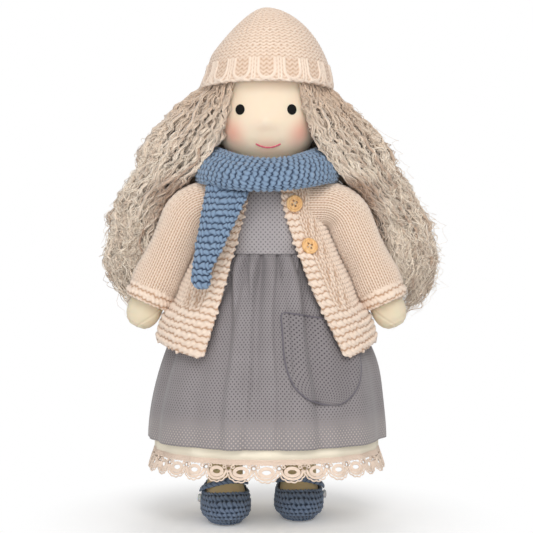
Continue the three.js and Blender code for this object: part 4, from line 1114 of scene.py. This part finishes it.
foot = {
    "spread": 28.0, "shift": -4.6, "hip": 104.2, "bottom": 3.8, "dome": 12.6, "cap": 0.08,    # cap is a share of v
    "rows": [    # height, half width, toe, heel
        (3.4, 10.5, 29, 10), (6.4, 14, 34, 13.5), (12.4, 15.4, 36, 15), (18.4, 15, 32, 15), (23.4, 14.2, 23, 14.5),
        (29.4, 13.4, 16, 13.8), (36.4, 13, 13, 13), (104.2, 13, 13, 13),
    ],
    "stance": {1: (-12, math.radians(3)), -1: (3, math.radians(8))},    # forward, turned
}


def footPoint(side, angle, z, grow, share=1.0):
    # a point on the foot or leg, grown outwards and drawn towards the middle by share
    half, toe, heel = smoothRead(foot["rows"], z)
    x, y = oval(angle, (half + grow) * share, ((toe + heel) / 2 + grow) * share, 2.1)
    y = y + (heel - toe) / 2
    forward, turned = foot["stance"][side]
    down = 1 - clamp(z / foot["hip"])
    c, s = math.cos(turned), math.sin(turned)
    return points(side * foot["spread"] + foot["shift"] * down + x * c - y * s, -forward * down + x * s + y * c, z)


def legPlace(side, u, v):
    bottom, cap = foot["bottom"], foot["cap"]
    z = bottom + (foot["hip"] - bottom) * clamp((v - cap) / (1 - 2 * cap)) ** 1.4
    share = np.sqrt(clamp(1 - (1 - clamp(v / cap)) ** 2))
    dome = clamp((v - 1 + cap) / cap)
    share = share * np.sqrt(clamp(1 - dome ** 2))
    at = footPoint(side, u * turn, z, 0.0, share)
    at[:, 2] += foot["dome"] * np.sin(dome * math.pi / 2) - 0.4 * (v < cap)
    return at


shoe = {
    "yarn": 3.2, "lift": 1.3, "bumps": 34, "rows": 12, "side": 22.0, "toe": 1.5, "heel": 10.0, "bottom": 0.5,
    "outside": 0.84,    # the share of v from the middle of the sole to the rim
    "form": [    # v, rise as a share of the rim's height, share of the width
        (0, 0, 0), (0.1, 0, 0.55), (0.2, 0, 0.86), (0.27, 0.02, 0.97), (0.36, 0.12, 1), (0.6, 0.55, 1),
        (0.8, 0.97, 1), (0.84, 1.0, 1), (0.88, 0.97, 1), (1, 0.7, 1),
    ],
}


def shoeRim(angle):
    front = -np.sin(angle)
    return shoe["side"] + shoe["toe"] * clamp(front) ** 3 + shoe["heel"] * clamp(-front) ** 1.5


def shoePlace(side, u, v):
    angle = u * turn
    rise, share = smoothRead(shoe["form"], v)
    z = shoe["bottom"] + clamp(rise) * (shoeRim(angle) - shoe["bottom"])
    inside = clamp((v - 0.81) / 0.06)
    grow = (shoe["yarn"] - 0.9) * (1 - inside) + 0.1 * inside
    sole = foot["rows"][0][0]    # under this height the shoe draws in
    share = clamp(share) * (1 - 0.12 * clamp((sole - z) / 3))
    at = footPoint(side, angle, np.maximum(z, sole), grow, share)
    at[:, 2] = z
    return at


def shoeRelief(u, v):
    rows = seed(u * shoe["bumps"], clamp(v / shoe["outside"]) * shoe["rows"])
    return rows * (v < shoe["outside"]) * clamp(v / 0.2) * np.where(v < 0.28, 0.25, 1)    # flatter on the sole


strap = {
    "height": 24.0, "rise": 7.0, "fall": 7.5, "around": 100.0, "halfThickness": 1.3, "halfWidth": 2.7, "loops": 15,
    "lift": 0.6,
}


def strapPath(side, w):
    # from the inner rim over the instep down to the button on the outer wall; w runs 0 to 1
    angle = math.radians(-90) - side * math.radians(strap["around"]) * (1 - 2 * w)
    z = strap["height"] + strap["rise"] * np.sin(np.pi * clamp(w * 0.8 + 0.12))
    z = z - strap["fall"] * clamp(w - 0.45) ** 1.2
    grow = 1.5 + 2.6 * clamp((w - 0.62) / 0.2) + 1.4 * clamp((0.2 - w) / 0.2)
    return footPoint(side, angle, z, grow), angle


def strapPlace(side, u, v):
    middle, angle = strapPath(side, v)
    ahead, _ = strapPath(side, np.minimum(v + 0.01, 1))
    behind, _ = strapPath(side, np.maximum(v - 0.01, 0))
    along = ahead - behind
    along /= np.linalg.norm(along, axis=1)[:, None]
    out = points(np.cos(angle), np.sin(angle), 0.55)
    out -= along * (out * along).sum(1)[:, None]
    out /= np.linalg.norm(out, axis=1)[:, None]
    wide = np.cross(along, out)
    end = np.sqrt(clamp(1 - np.abs(2 * v - 1) ** 24))    # closes both ends
    thick = strap["halfThickness"] * np.cos(-u * turn) * end
    across = strap["halfWidth"] * np.sin(-u * turn) * end
    return middle + out * thick[:, None] + wide * across[:, None]


def braid(u, v):
    side = np.abs(np.sin(turn * u))
    return np.abs(np.sin(np.pi * (v * strap["loops"] + 0.6 * side))) ** 0.6 * (0.45 + 0.55 * side)


shoeButton = {"radius": 3.2, "thick": 1.9, "dish": 0.4, "rim": 0.7}

for side, word in bothSides:
    leg = "leg_" + word
    mesh = cloth("leg_stuffed_" + word, 64, 90, partial(legPlace, side), (90, 120), closed=True)
    piece = addPiece(mesh, legJersey, leg, [f"leg_{word}_skin"])
    columns, place = 6 * shoe["bumps"], partial(shoePlace, side)
    mesh = cloth("shoe_crochet_" + word, columns, 70, place, (120, 50), shoeRelief, shoe["lift"], closed=True)
    addPiece(mesh, shoeYarn, leg, ["shoe_" + word])
    mesh = cloth("shoe_band_" + word, 20, 120, partial(strapPlace, side), (12, 60), braid, strap["lift"], closed=True)
    addPiece(mesh, shoeYarn, leg, ["shoe_strap_" + word])
    mesh = meshFrom(turnedDisc(**shoeButton), "shoe_pearl_" + word)
    low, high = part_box("shoe_button_" + word)
    facing = Vector((side, -0.25, 0.1)).normalized()
    mesh.transform(facingPlace((low + high) / 2 - facing * 1.5 * mm, facing))
    mesh.shade_smooth()
    addPiece(mesh, buttonResin, leg, ["shoe_button_" + word])
print("legs made")

# Knitted hat

hat = {
    "brim": 325.0, "radius": 49.5, "height": 60.7, "wall": 2.4, "band": 16.0, "rowHeight": 2.85, "lift": 2.2,
    "hem": 0.1,    # the share of v that is turned in
    "motifs": 16, "bandLift": 1.5, "bandRadius": 49.0, "archHalfWidth": 6.2, "archHalfHeight": 6.0, "archMiddle": 8.5,
    "cord": 1.15, "purlWidth": 4.6, "purlHeight": 2.8,
    "counts": [8, 12, 18, 24, 32, 42, 52, 64], "countsFrom": [6, 11, 17, 22, 29, 36, 43],    # stitches, by radius
    "bandForm": [    # v, height, radius
        (0, 6, 45.6), (0.2, 0.6, 46.2), (0.27, -0.2, 47.6), (0.34, 0.4, 49.0), (0.6, 6, 49.4), (1, 16.6, 47.2),
    ],
}


def hatRadius(height):
    return hat["radius"] * clamp(1 - clamp(height / hat["height"]) ** 1.8) ** 0.55


def hatLean(x, height):
    # the knit hangs closer on her right side, and more so towards the top
    close = 0.06 + 0.19 * np.clip((height - 25) / 26, 0, 1.2)
    return np.where(x < 0, x * (1 - close * clamp(height / 10)), x)


profileHeights = np.concatenate([    # with closer steps towards the tip
    np.linspace(hat["band"] - 1, hat["height"] * 0.94, 80),
    hat["height"] * (1 - 0.06 * np.linspace(1, 0, 60)[1:] ** 2),
])
profileRadii = hatRadius(profileHeights)
profileLength = np.concatenate([[0], np.cumsum(np.hypot(np.diff(profileHeights), np.diff(profileRadii)))])


def alongCrown(v):
    return clamp((v - hat["hem"]) / (1 - hat["hem"])) * profileLength[-1]


def crownPlace(u, v):
    length = alongCrown(v)
    height = np.interp(length, profileLength, profileHeights)
    radius = np.interp(length, profileLength, profileRadii) - 0.6
    inside = clamp((hat["hem"] - v) / hat["hem"])
    radius = radius - hat["wall"] * clamp(inside * 4)
    height = height + inside * 9
    x, y = oval(u * turn, np.maximum(radius, 0), np.maximum(radius, 0))
    return points(hatLean(x, height), y, hat["brim"] + height)


def crownRelief(u, v):
    row = alongCrown(v) / hat["rowHeight"]
    radius = np.interp((np.floor(row) + 0.5) * hat["rowHeight"], profileLength, profileRadii)
    count = np.array(hat["counts"])[np.searchsorted(hat["countsFrom"], radius)]
    return purl(u * count, row) * (v > hat["hem"])


crownMesh = cloth("hat_knit", 340, 130, crownPlace, (311, 90), crownRelief, hat["lift"], closed=True)
addPiece(crownMesh, creamYarn, "hat", ["hat_crown"])


def bandPlace(u, v):
    height, radius = smoothRead(hat["bandForm"], v)
    scallop = 0.35 * np.cos(2 * hat["motifs"] * u * turn) * hill(np.clip(height, 0, None), 0, 2.2)
    x, y = oval(u * turn, radius, radius)
    return points(hatLean(x, height), y, hat["brim"] + height + scallop)


def bandRelief(u, v):
    # cabled arches between posts over a purled ground, with a garter edge
    width = turn * hat["bandRadius"] / hat["motifs"]
    x = ((u * hat["motifs"] + 0.5) % 1 - 0.5) * width
    y = clamp((v - 0.3) / 0.7) * hat["band"]
    bottom = np.minimum(y - hat["archMiddle"], 0)
    across = np.sqrt((x / hat["archHalfWidth"]) ** 2 + (bottom / hat["archHalfHeight"]) ** 2)
    outline = hill(across, 1, hat["cord"] / hat["archHalfHeight"])
    posts = hill(np.abs(np.abs(x) - width / 2), 1.05, 0.75) * clamp(y - 1.5)
    ground = 0.75 * purl(x / hat["purlWidth"], y / hat["purlHeight"])
    edge = garter(u * 60, y / hat["purlHeight"]) * (y < hat["purlHeight"])
    twist = 0.9 + 0.1 * np.sin(turn * (y + 0.5 * x) / 1.9)
    return np.maximum.reduce([outline * twist, posts * twist, ground, edge]) * (v > 0.24)


bandMesh = cloth("hat_band_knit", 480, 46, bandPlace, (311, 26), bandRelief, hat["bandLift"], closed=True)
addPiece(bandMesh, creamYarn, "hat", ["hat_band"])
print("hat made")

# Wig cap and mohair hair

mane = {
    "rows": [    # drop below the brim, half width on her left, on her right, front, back
        (-8, 43, 43, -30, 43), (0.4, 51, 53, -26, 45), (8, 59, 63, -25, 47), (20, 71, 75, -25, 49),
        (32, 82, 86, -24, 50), (44, 92, 94, -22, 51), (57, 99, 98, -19, 53), (69, 107, 105, -14, 54),
        (82, 115, 115, -6, 55), (96, 123, 120, 2, 55), (112, 130, 122, 4, 55), (126, 133, 125, 6, 54),
        (144, 130, 120, 8, 53), (156, 126, 112, 10, 52), (170, 114, 103, 13, 50), (184, 102, 98, 18, 47),
    ],
    "besideFace": [
        (-8, 43, 43, -41, 43), (0.4, 44, 45, -43, 44), (20, 48, 49, -42, 46), (40, 57, 57, -37, 48),
        (58, 73, 71, -27, 51), (76, 92, 90, -15, 53), (96, 110, 106, 0, 54), (126, 122, 114, 6, 54),
        (150, 120, 112, 9, 52), (184, 100, 98, 15, 48),
    ],
    "above": 7.0, "depth": 17.0, "points": 102, "coilLength": (7.0, 10.0), "coilSize": (1.0, 1.9), "radius": 0.4,
    "core": 1.2, "faceDrift": 20.0, "armRoom": 19.0, "bends": ((2.2, 55), (0.9, 23)),    # sway, and over what length
    "room": {"head": 2.2, "body": 2.0, "scarf": 1.5},
    "strays": ((0.06, 4.6), (0.2, 2.6)),    # up to which share of the threads, and how many times further out
    "paintedShade": {"inside": 96.0, "fade": 24.0, "below": 262.0, "soft": 14.0, "amount": 1.05},
    "layers": [    # locks, first and last degree, depth, shortest, longest, threads in a lock, fullness of its core
        (40, -59, -18, 0.2, 140, 166, 5, 1.0), (40, -56, 20, 0.7, 120, 176, 4, 1.2),
        (38, -16, 54, 0.45, 146, 178, 4, 1.7),
    ],
    "backLayers": [(44, 52, 128, 0.8, 140, 172, 3, 2.4), (44, 52, 128, 0.8, 120, 164, 3, 2.4)],
    "shorterRight": 6,
}


def armClear(at, reach):
    # pushes hair that would lie in a sleeve or hand back behind it
    for side in (1, -1):
        x, z, _ = armLine(np.linspace(0, arm["length"] + 0.4, 40), side)
        away = np.hypot(at[..., 0, None] - x, at[..., 2, None] - z).min(-1)
        room = np.sqrt(np.clip(reach ** 2 - away ** 2, 0, None))
        at[..., 1] = np.where(room > 0, np.maximum(at[..., 1], arm["forward"] + room), at[..., 1])
    return at


def bodyClear(at):
    # pushes hair out of the head, the scarf and the cardigan
    x, y, z = at[..., 0], at[..., 1], at[..., 2]
    room = mane["room"]
    headAway = np.clip(headRadiusAt(z) + room["head"], 1, None)
    width, depth = smoothRead(cardiganRows, z) + room["body"]
    atScarf = (z > 240) & (z < 281)
    onScarf = scarf["radius"] + scarf["halfThickness"] + room["scarf"] + 3.2 * clamp(y / 20)
    onScarf = onScarf - 0.5 * np.clip(z - 266, 0, None)
    for halfWidth, halfDepth, where in (
        (headAway, headAway, z > 270), (width, depth, (z < 258) & (z > 120)), (onScarf, onScarf, atScarf)
    ):
        size = np.sqrt((x / halfWidth) ** 2 + (y / halfDepth) ** 2)
        push = np.where(where & (size < 1), 1 / np.maximum(size, 0.05), 1)
        x, y = x * push, y * push
    at[..., 0], at[..., 1] = x, y
    return at


def hairLocks(name, locks, nodes, many, full):
    # a lock is its place round the brim, its depth in the mass, how far down it comes and how much it frames the face
    angles, depths, reaches, framing = (column[:, None] for column in np.asarray(locks, float).T)
    count = len(locks)
    t = np.linspace(0, 1, mane["points"])[None, :]
    drop = -mane["above"] + (reaches + mane["above"]) * t
    fromRoot = drop + mane["above"]
    mass, beside = smoothRead(mane["rows"], drop), smoothRead(mane["besideFace"], drop)
    left, right, front, back = mass * (1 - framing) + beside * framing
    inset = mane["depth"] * depths * clamp((drop + 4) / 24)
    side = np.sign(np.cos(angles))
    drift = math.radians(mane["faceDrift"]) * framing * side * clamp(drop / 100)
    drift = drift + draws.normal(0, 0.04, (count, 1)) * t
    half = np.where(side > 0, left, right) - inset
    x, y = oval(angles + drift, half, (back - front) / 2 - inset, 2.3)
    lock = points(x, y + (back + front) / 2, hat["brim"] - drop)
    for amplitude, length in mane["bends"]:    # slow bends of the whole lock
        phase = draws.uniform(0, turn, (count, 3, 1))
        way = draws.normal(0, 1, (count, 3, 1))
        bend = amplitude * way * np.sin(turn * drop[:, None, :] / length + phase)
        lock = lock + np.moveaxis(bend, 1, 2) * clamp(fromRoot / 40)[..., None]
    tone = clamp(draws.normal(0.92, 0.26, (count, 1)))

    def finish(kind, paths, radius, tones):
        paths = armClear(bodyClear(paths), mane["armRoom"])
        taper = np.clip((1.02 - np.linspace(0, 1, paths.shape[1])) * 9, 0.25, 1)
        mesh = strands(name + kind, paths, radius * taper[None, :])
        # painted shade: hair that lies close beside the shoulders, where shade falls, is drawn darker
        paintedShade = mane["paintedShade"]
        near = clamp((paintedShade["inside"] - np.abs(paths[..., 0])) / paintedShade["fade"])
        near = near * clamp((paintedShade["below"] - paths[..., 2]) / paintedShade["soft"])
        strandValues(mesh, "tone", clamp(tones.reshape(-1, 1) - paintedShade["amount"] * near))
        strandValues(mesh, "along", np.repeat(np.linspace(0, 1, paths.shape[1])[None], len(paths), 0))
        piece = addPiece(mesh, mohair, None, [] if kind else nodes)
        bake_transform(piece)

    # the soft core of each lock, crimped, and darker as painted shade deep in the lock
    core = lock.copy()
    crimp = turn * drop / draws.uniform(*mane["coilLength"], (count, 1)) * draws.choice([-1, 1], (count, 1))
    crimp = crimp + draws.uniform(0, turn, (count, 1))
    crimp = crimp + 1.2 * np.sin(turn * drop / draws.uniform(20, 40, (count, 1)) + draws.uniform(0, turn, (count, 1)))
    wide = draws.uniform(*mane["coilSize"], (count, 1)) * np.clip(fromRoot / 20, 0.15, 1)
    beat = draws.uniform(14, 30, (count, 1))
    wide = wide * (1 + 0.3 * np.sin(turn * drop / beat + draws.uniform(0, turn, (count, 1))))
    core[..., 0] += 0.75 * wide * np.cos(crimp)
    core[..., 1] += 0.75 * wide * np.sin(crimp)
    thick = full * mane["core"] * draws.uniform(0.75, 1.2, (count, 1)) * (1 + 0.16 * np.sin(1.7 * crimp + 1))
    thick = thick * np.clip(fromRoot / 24, 0.5, 1) * np.clip((1.01 - t) * 4, 0.1, 1)
    # the core's tone is 0.3 lower: painted shade inside the lock
    finish("_core", core[:, ::2], thick[:, ::2], tone - 0.3)

    # threads that wave with their lock, each a little early or late
    shape = (count, many, 1)
    wound = crimp[:, None, :] + draws.normal(0, 0.3, shape)
    beat = draws.uniform(12, 30, shape)
    wound = wound + 0.3 * np.sin(turn * drop[:, None, :] / beat + draws.uniform(0, turn, shape))
    luck = draws.uniform(0, 1, shape)
    (few, far), (some, less) = mane["strays"]
    stray = np.where(luck < few, far, np.where(luck < some, less, 1.0)) * (1 - 0.4 * framing[:, None])
    loose = np.maximum(stray, 1)    # the threads that stray curl wider and are finer
    size = wide[:, None, :] * draws.uniform(0.7, 1.35, shape) * loose ** 0.3
    aside = stray[:, :, None] * draws.normal(0, 1.1, (count, many, 2, 1)) * (0.4 + 0.8 * t)
    aside = aside * clamp(fromRoot / 30)[:, None, None, :]
    coil = np.repeat(lock[:, None], many, 1)
    coil[..., 0] += size * np.cos(wound) + aside[:, :, 0]
    coil[..., 1] += size * np.sin(wound) + aside[:, :, 1]
    coil[..., 2] += 0.5 * size * np.sin(wound + draws.uniform(0, turn, shape)) + draws.normal(0, 3.0, shape) * t ** 3
    radii = mane["radius"] * draws.uniform(0.6, 1.25, (count * many, 1)) / np.sqrt(loose.reshape(-1, 1))
    finish("", coil.reshape(count * many, -1, 3), radii, tone + draws.normal(0, 0.16, (count, many)))


def lockRow(count, first, last, deepest, shortest, longest):
    # even but jittered places along the brim, in degrees, at every depth down to the deepest
    degrees = np.linspace(first, last, count) + draws.normal(0, 1.5, count)
    depths = deepest * np.linspace(0, 1, count)[draws.permutation(count)] ** 1.3
    framing = clamp((-degrees - 24) / 34)
    framing = framing * framing * (3 - 2 * framing)
    return np.column_stack([np.radians(degrees), depths, draws.uniform(shortest, longest, count), framing])


for side, word in bothSides:
    shorter = mane["shorterRight"] if side < 0 else 0
    layers = [lockRow(*row[:5], row[5] - shorter) for row in mane["layers"]]
    for layer, (locks, row) in enumerate(zip(layers, mane["layers"])):
        if side < 0:
            locks[:, 0] = math.pi - locks[:, 0]
        nodes = ["hair_" + word] if layer == 0 else []
        hairLocks(f"hair_locks_{word}_{layer + 1}", locks, nodes, *row[6:])
for layer, row in enumerate(mane["backLayers"]):
    nodes = ["hair_back"] if layer == 0 else []
    hairLocks(f"hair_locks_back_{layer + 1}", lockRow(*row[:6]), nodes, *row[6:])
print("hair made")

crownHair = {"threads": 240, "points": 20, "radius": 1.1, "lift": 2.4}


def crownHairMesh():
    # the hair under the hat, combed down from the crown over the wig cap
    count = crownHair["threads"]
    t = np.linspace(0, 1, crownHair["points"])[None, :]
    angle = draws.uniform(0, turn, (count, 1)) + 0.15 * np.sin(6 * t) * draws.normal(0, 1, (count, 1))
    fall = draws.uniform(0.0, 0.35, (count, 1)) + t * (1.42 - 0.2 * draws.uniform(0, 1, (count, 1)))
    fall = np.clip(fall, 0.02, 1.46)
    z = head["middle"] + (head["halfHeight"] + 2.6) * np.cos(fall)
    radius = headRadiusAt(np.minimum(z, head["middle"] + head["halfHeight"] - 0.3)) + crownHair["lift"]
    radius = np.where(fall < 0.25, (head["radius"] + 2) * np.sin(fall), radius)
    wobble = 0.5 * np.sin(9 * t * math.pi + draws.uniform(0, turn, (count, 1)))
    x, y = oval(angle + wobble * 0.02, radius + wobble * 0.4, radius + wobble * 0.4)
    paths = points(x, y, np.maximum(z, hat["brim"] + 1))
    mesh = strands("hair_locks_crown", paths, np.full(paths.shape[:2], crownHair["radius"]))
    tone = clamp(draws.normal(0.5, 0.2, (count, 1)))
    strandValues(mesh, "tone", np.repeat(tone, t.size, 1))
    strandValues(mesh, "along", np.full((count, t.size), 0.6))
    return mesh


addPiece(crownHairMesh(), mohair, "head", ["hair_crown"])

wigCap = {"bottom": 285.0, "foreheadRise": 48.0, "above": 1.6, "room": 1.2, "stitches": 50, "rows": 26, "lift": 0.8}


def capPlace(u, v):
    low = wigCap["bottom"]
    bottom = low + wigCap["foreheadRise"] * clamp(-np.sin(u * turn) * 1.4)    # it stops at the forehead in front
    top = head["middle"] + head["halfHeight"] + wigCap["above"]
    z = bottom + (top - bottom) * v
    radius = headRadiusAt(z - wigCap["above"] * (z - low) / (top - low)) + wigCap["room"]
    return ring(u * turn, radius, radius, z)


def capRelief(u, v):
    return seed(u * wigCap["stitches"], v * wigCap["rows"])


capMesh = cloth("wig_cap_crochet", 110, 48, capPlace, (258, 110), capRelief, wigCap["lift"], closed=True)
addPiece(capMesh, capYarn, "head", ["wig_cap"])

# What stays as CAD solids: the neck's tie cord and the stuffing, which lie inside

for name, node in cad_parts.items():
    if node.hide_render:
        continue
    kept = sewingThread if name == "neck_tie" else stuffingWool
    for slot in node.material_slots:
        slot.material = kept

# Floor, light and camera

view = {"distance": 930.0, "eye": 190.5, "focal": 1224.0, "frame": 533.0}    # focal length and frame in pixels


def seenRays(tree):
    # 1 for what the camera sees, straight or through something clear or shiny, and 0 for the light on the doll
    rays = addNode(tree, "LightPath")
    seen = rays.outputs["Is Camera Ray"]
    for kind in ("Is Glossy Ray", "Is Transmission Ray"):
        seen = addNode(tree, "Math", {0: seen, 1: rays.outputs[kind]}, operation="MAXIMUM")
    return seen


def floorFinish():
    # matte pale paper that runs out to plain white away from the doll, and keeps her shadow
    material, tree = newMaterial("studio_paper")
    place = addNode(tree, "TexCoord").outputs["Object"]
    away = addNode(tree, "VectorMath", {0: place}, operation="LENGTH")
    outside = addNode(tree, "MapRange", {"Value": away, "From Min": 85 * mm, "From Max": 190 * mm}, **smooth)
    seen = seenRays(tree)
    share = addNode(tree, "Math", {0: outside, 1: seen}, operation="MULTIPLY")
    paper = addNode(tree, "BsdfDiffuse", {"Color": linear("#fbfbfb")})
    white = addNode(tree, "Emission", {"Color": (1, 1, 1, 1), "Strength": 1.0})
    lift = addNode(tree, "Math", {0: seen, 1: 0.15}, operation="MULTIPLY")
    glow = addNode(tree, "Emission", {"Color": (1, 1, 1, 1), "Strength": lift})
    lit = addNode(tree, "AddShader", {0: paper, 1: glow})
    both = addNode(tree, "MixShader", {0: share, 1: lit, 2: white})
    addNode(tree, "OutputMaterial", {"Surface": both})
    return material


floorShape = bmesh.new()
bmesh.ops.create_grid(floorShape, x_segments=1, y_segments=1, size=6.0)
floor = inScene("floor", meshFrom(floorShape, "floor"))
floor.data.materials.append(floorFinish())

world = bpy.data.worlds.new("studio")
bpy.context.scene.world = world
world.use_nodes = True
tree = world.node_tree
tree.nodes.clear()
strength = addNode(tree, "MapRange", {"Value": seenRays(tree), "To Min": 0.5, "To Max": 1.0})
sky = addNode(tree, "Background", {"Color": (1, 1, 1, 1), "Strength": strength})
addNode(tree, "OutputWorld", {"Surface": sky})

lamps = {    # place in metres, width in metres, power in watts
    "key": ((0.15, -1.2, 1.0), 0.7, 8.4),
    "fill": ((-0.3, -1.3, 0.1), 0.9, 6.6),
    "rim": ((0.1, 1.1, 1.2), 0.9, 3.5),
}
for name, (place, width, power) in lamps.items():
    lamp = bpy.data.lights.new(name, "AREA")
    lamp.size = width
    lamp.energy = power
    lampObject = inScene(name, lamp)
    lampObject.location = place
    lampObject.rotation_euler = (Vector((0, 0, 0.2)) - Vector(place)).to_track_quat("-Z", "Y").to_euler()

camera = bpy.data.cameras.new("camera")
camera.sensor_width = 36
camera.lens = camera.sensor_width * view["focal"] / view["frame"]
camera.clip_start = 0.05
cameraObject = inScene("camera", camera)
cameraObject.location = (0, -view["distance"] * mm, view["eye"] * mm)
cameraObject.rotation_euler = (math.pi / 2, 0, 0)
bpy.context.scene.camera = cameraObject
bpy.context.scene.view_settings.view_transform = "Standard"
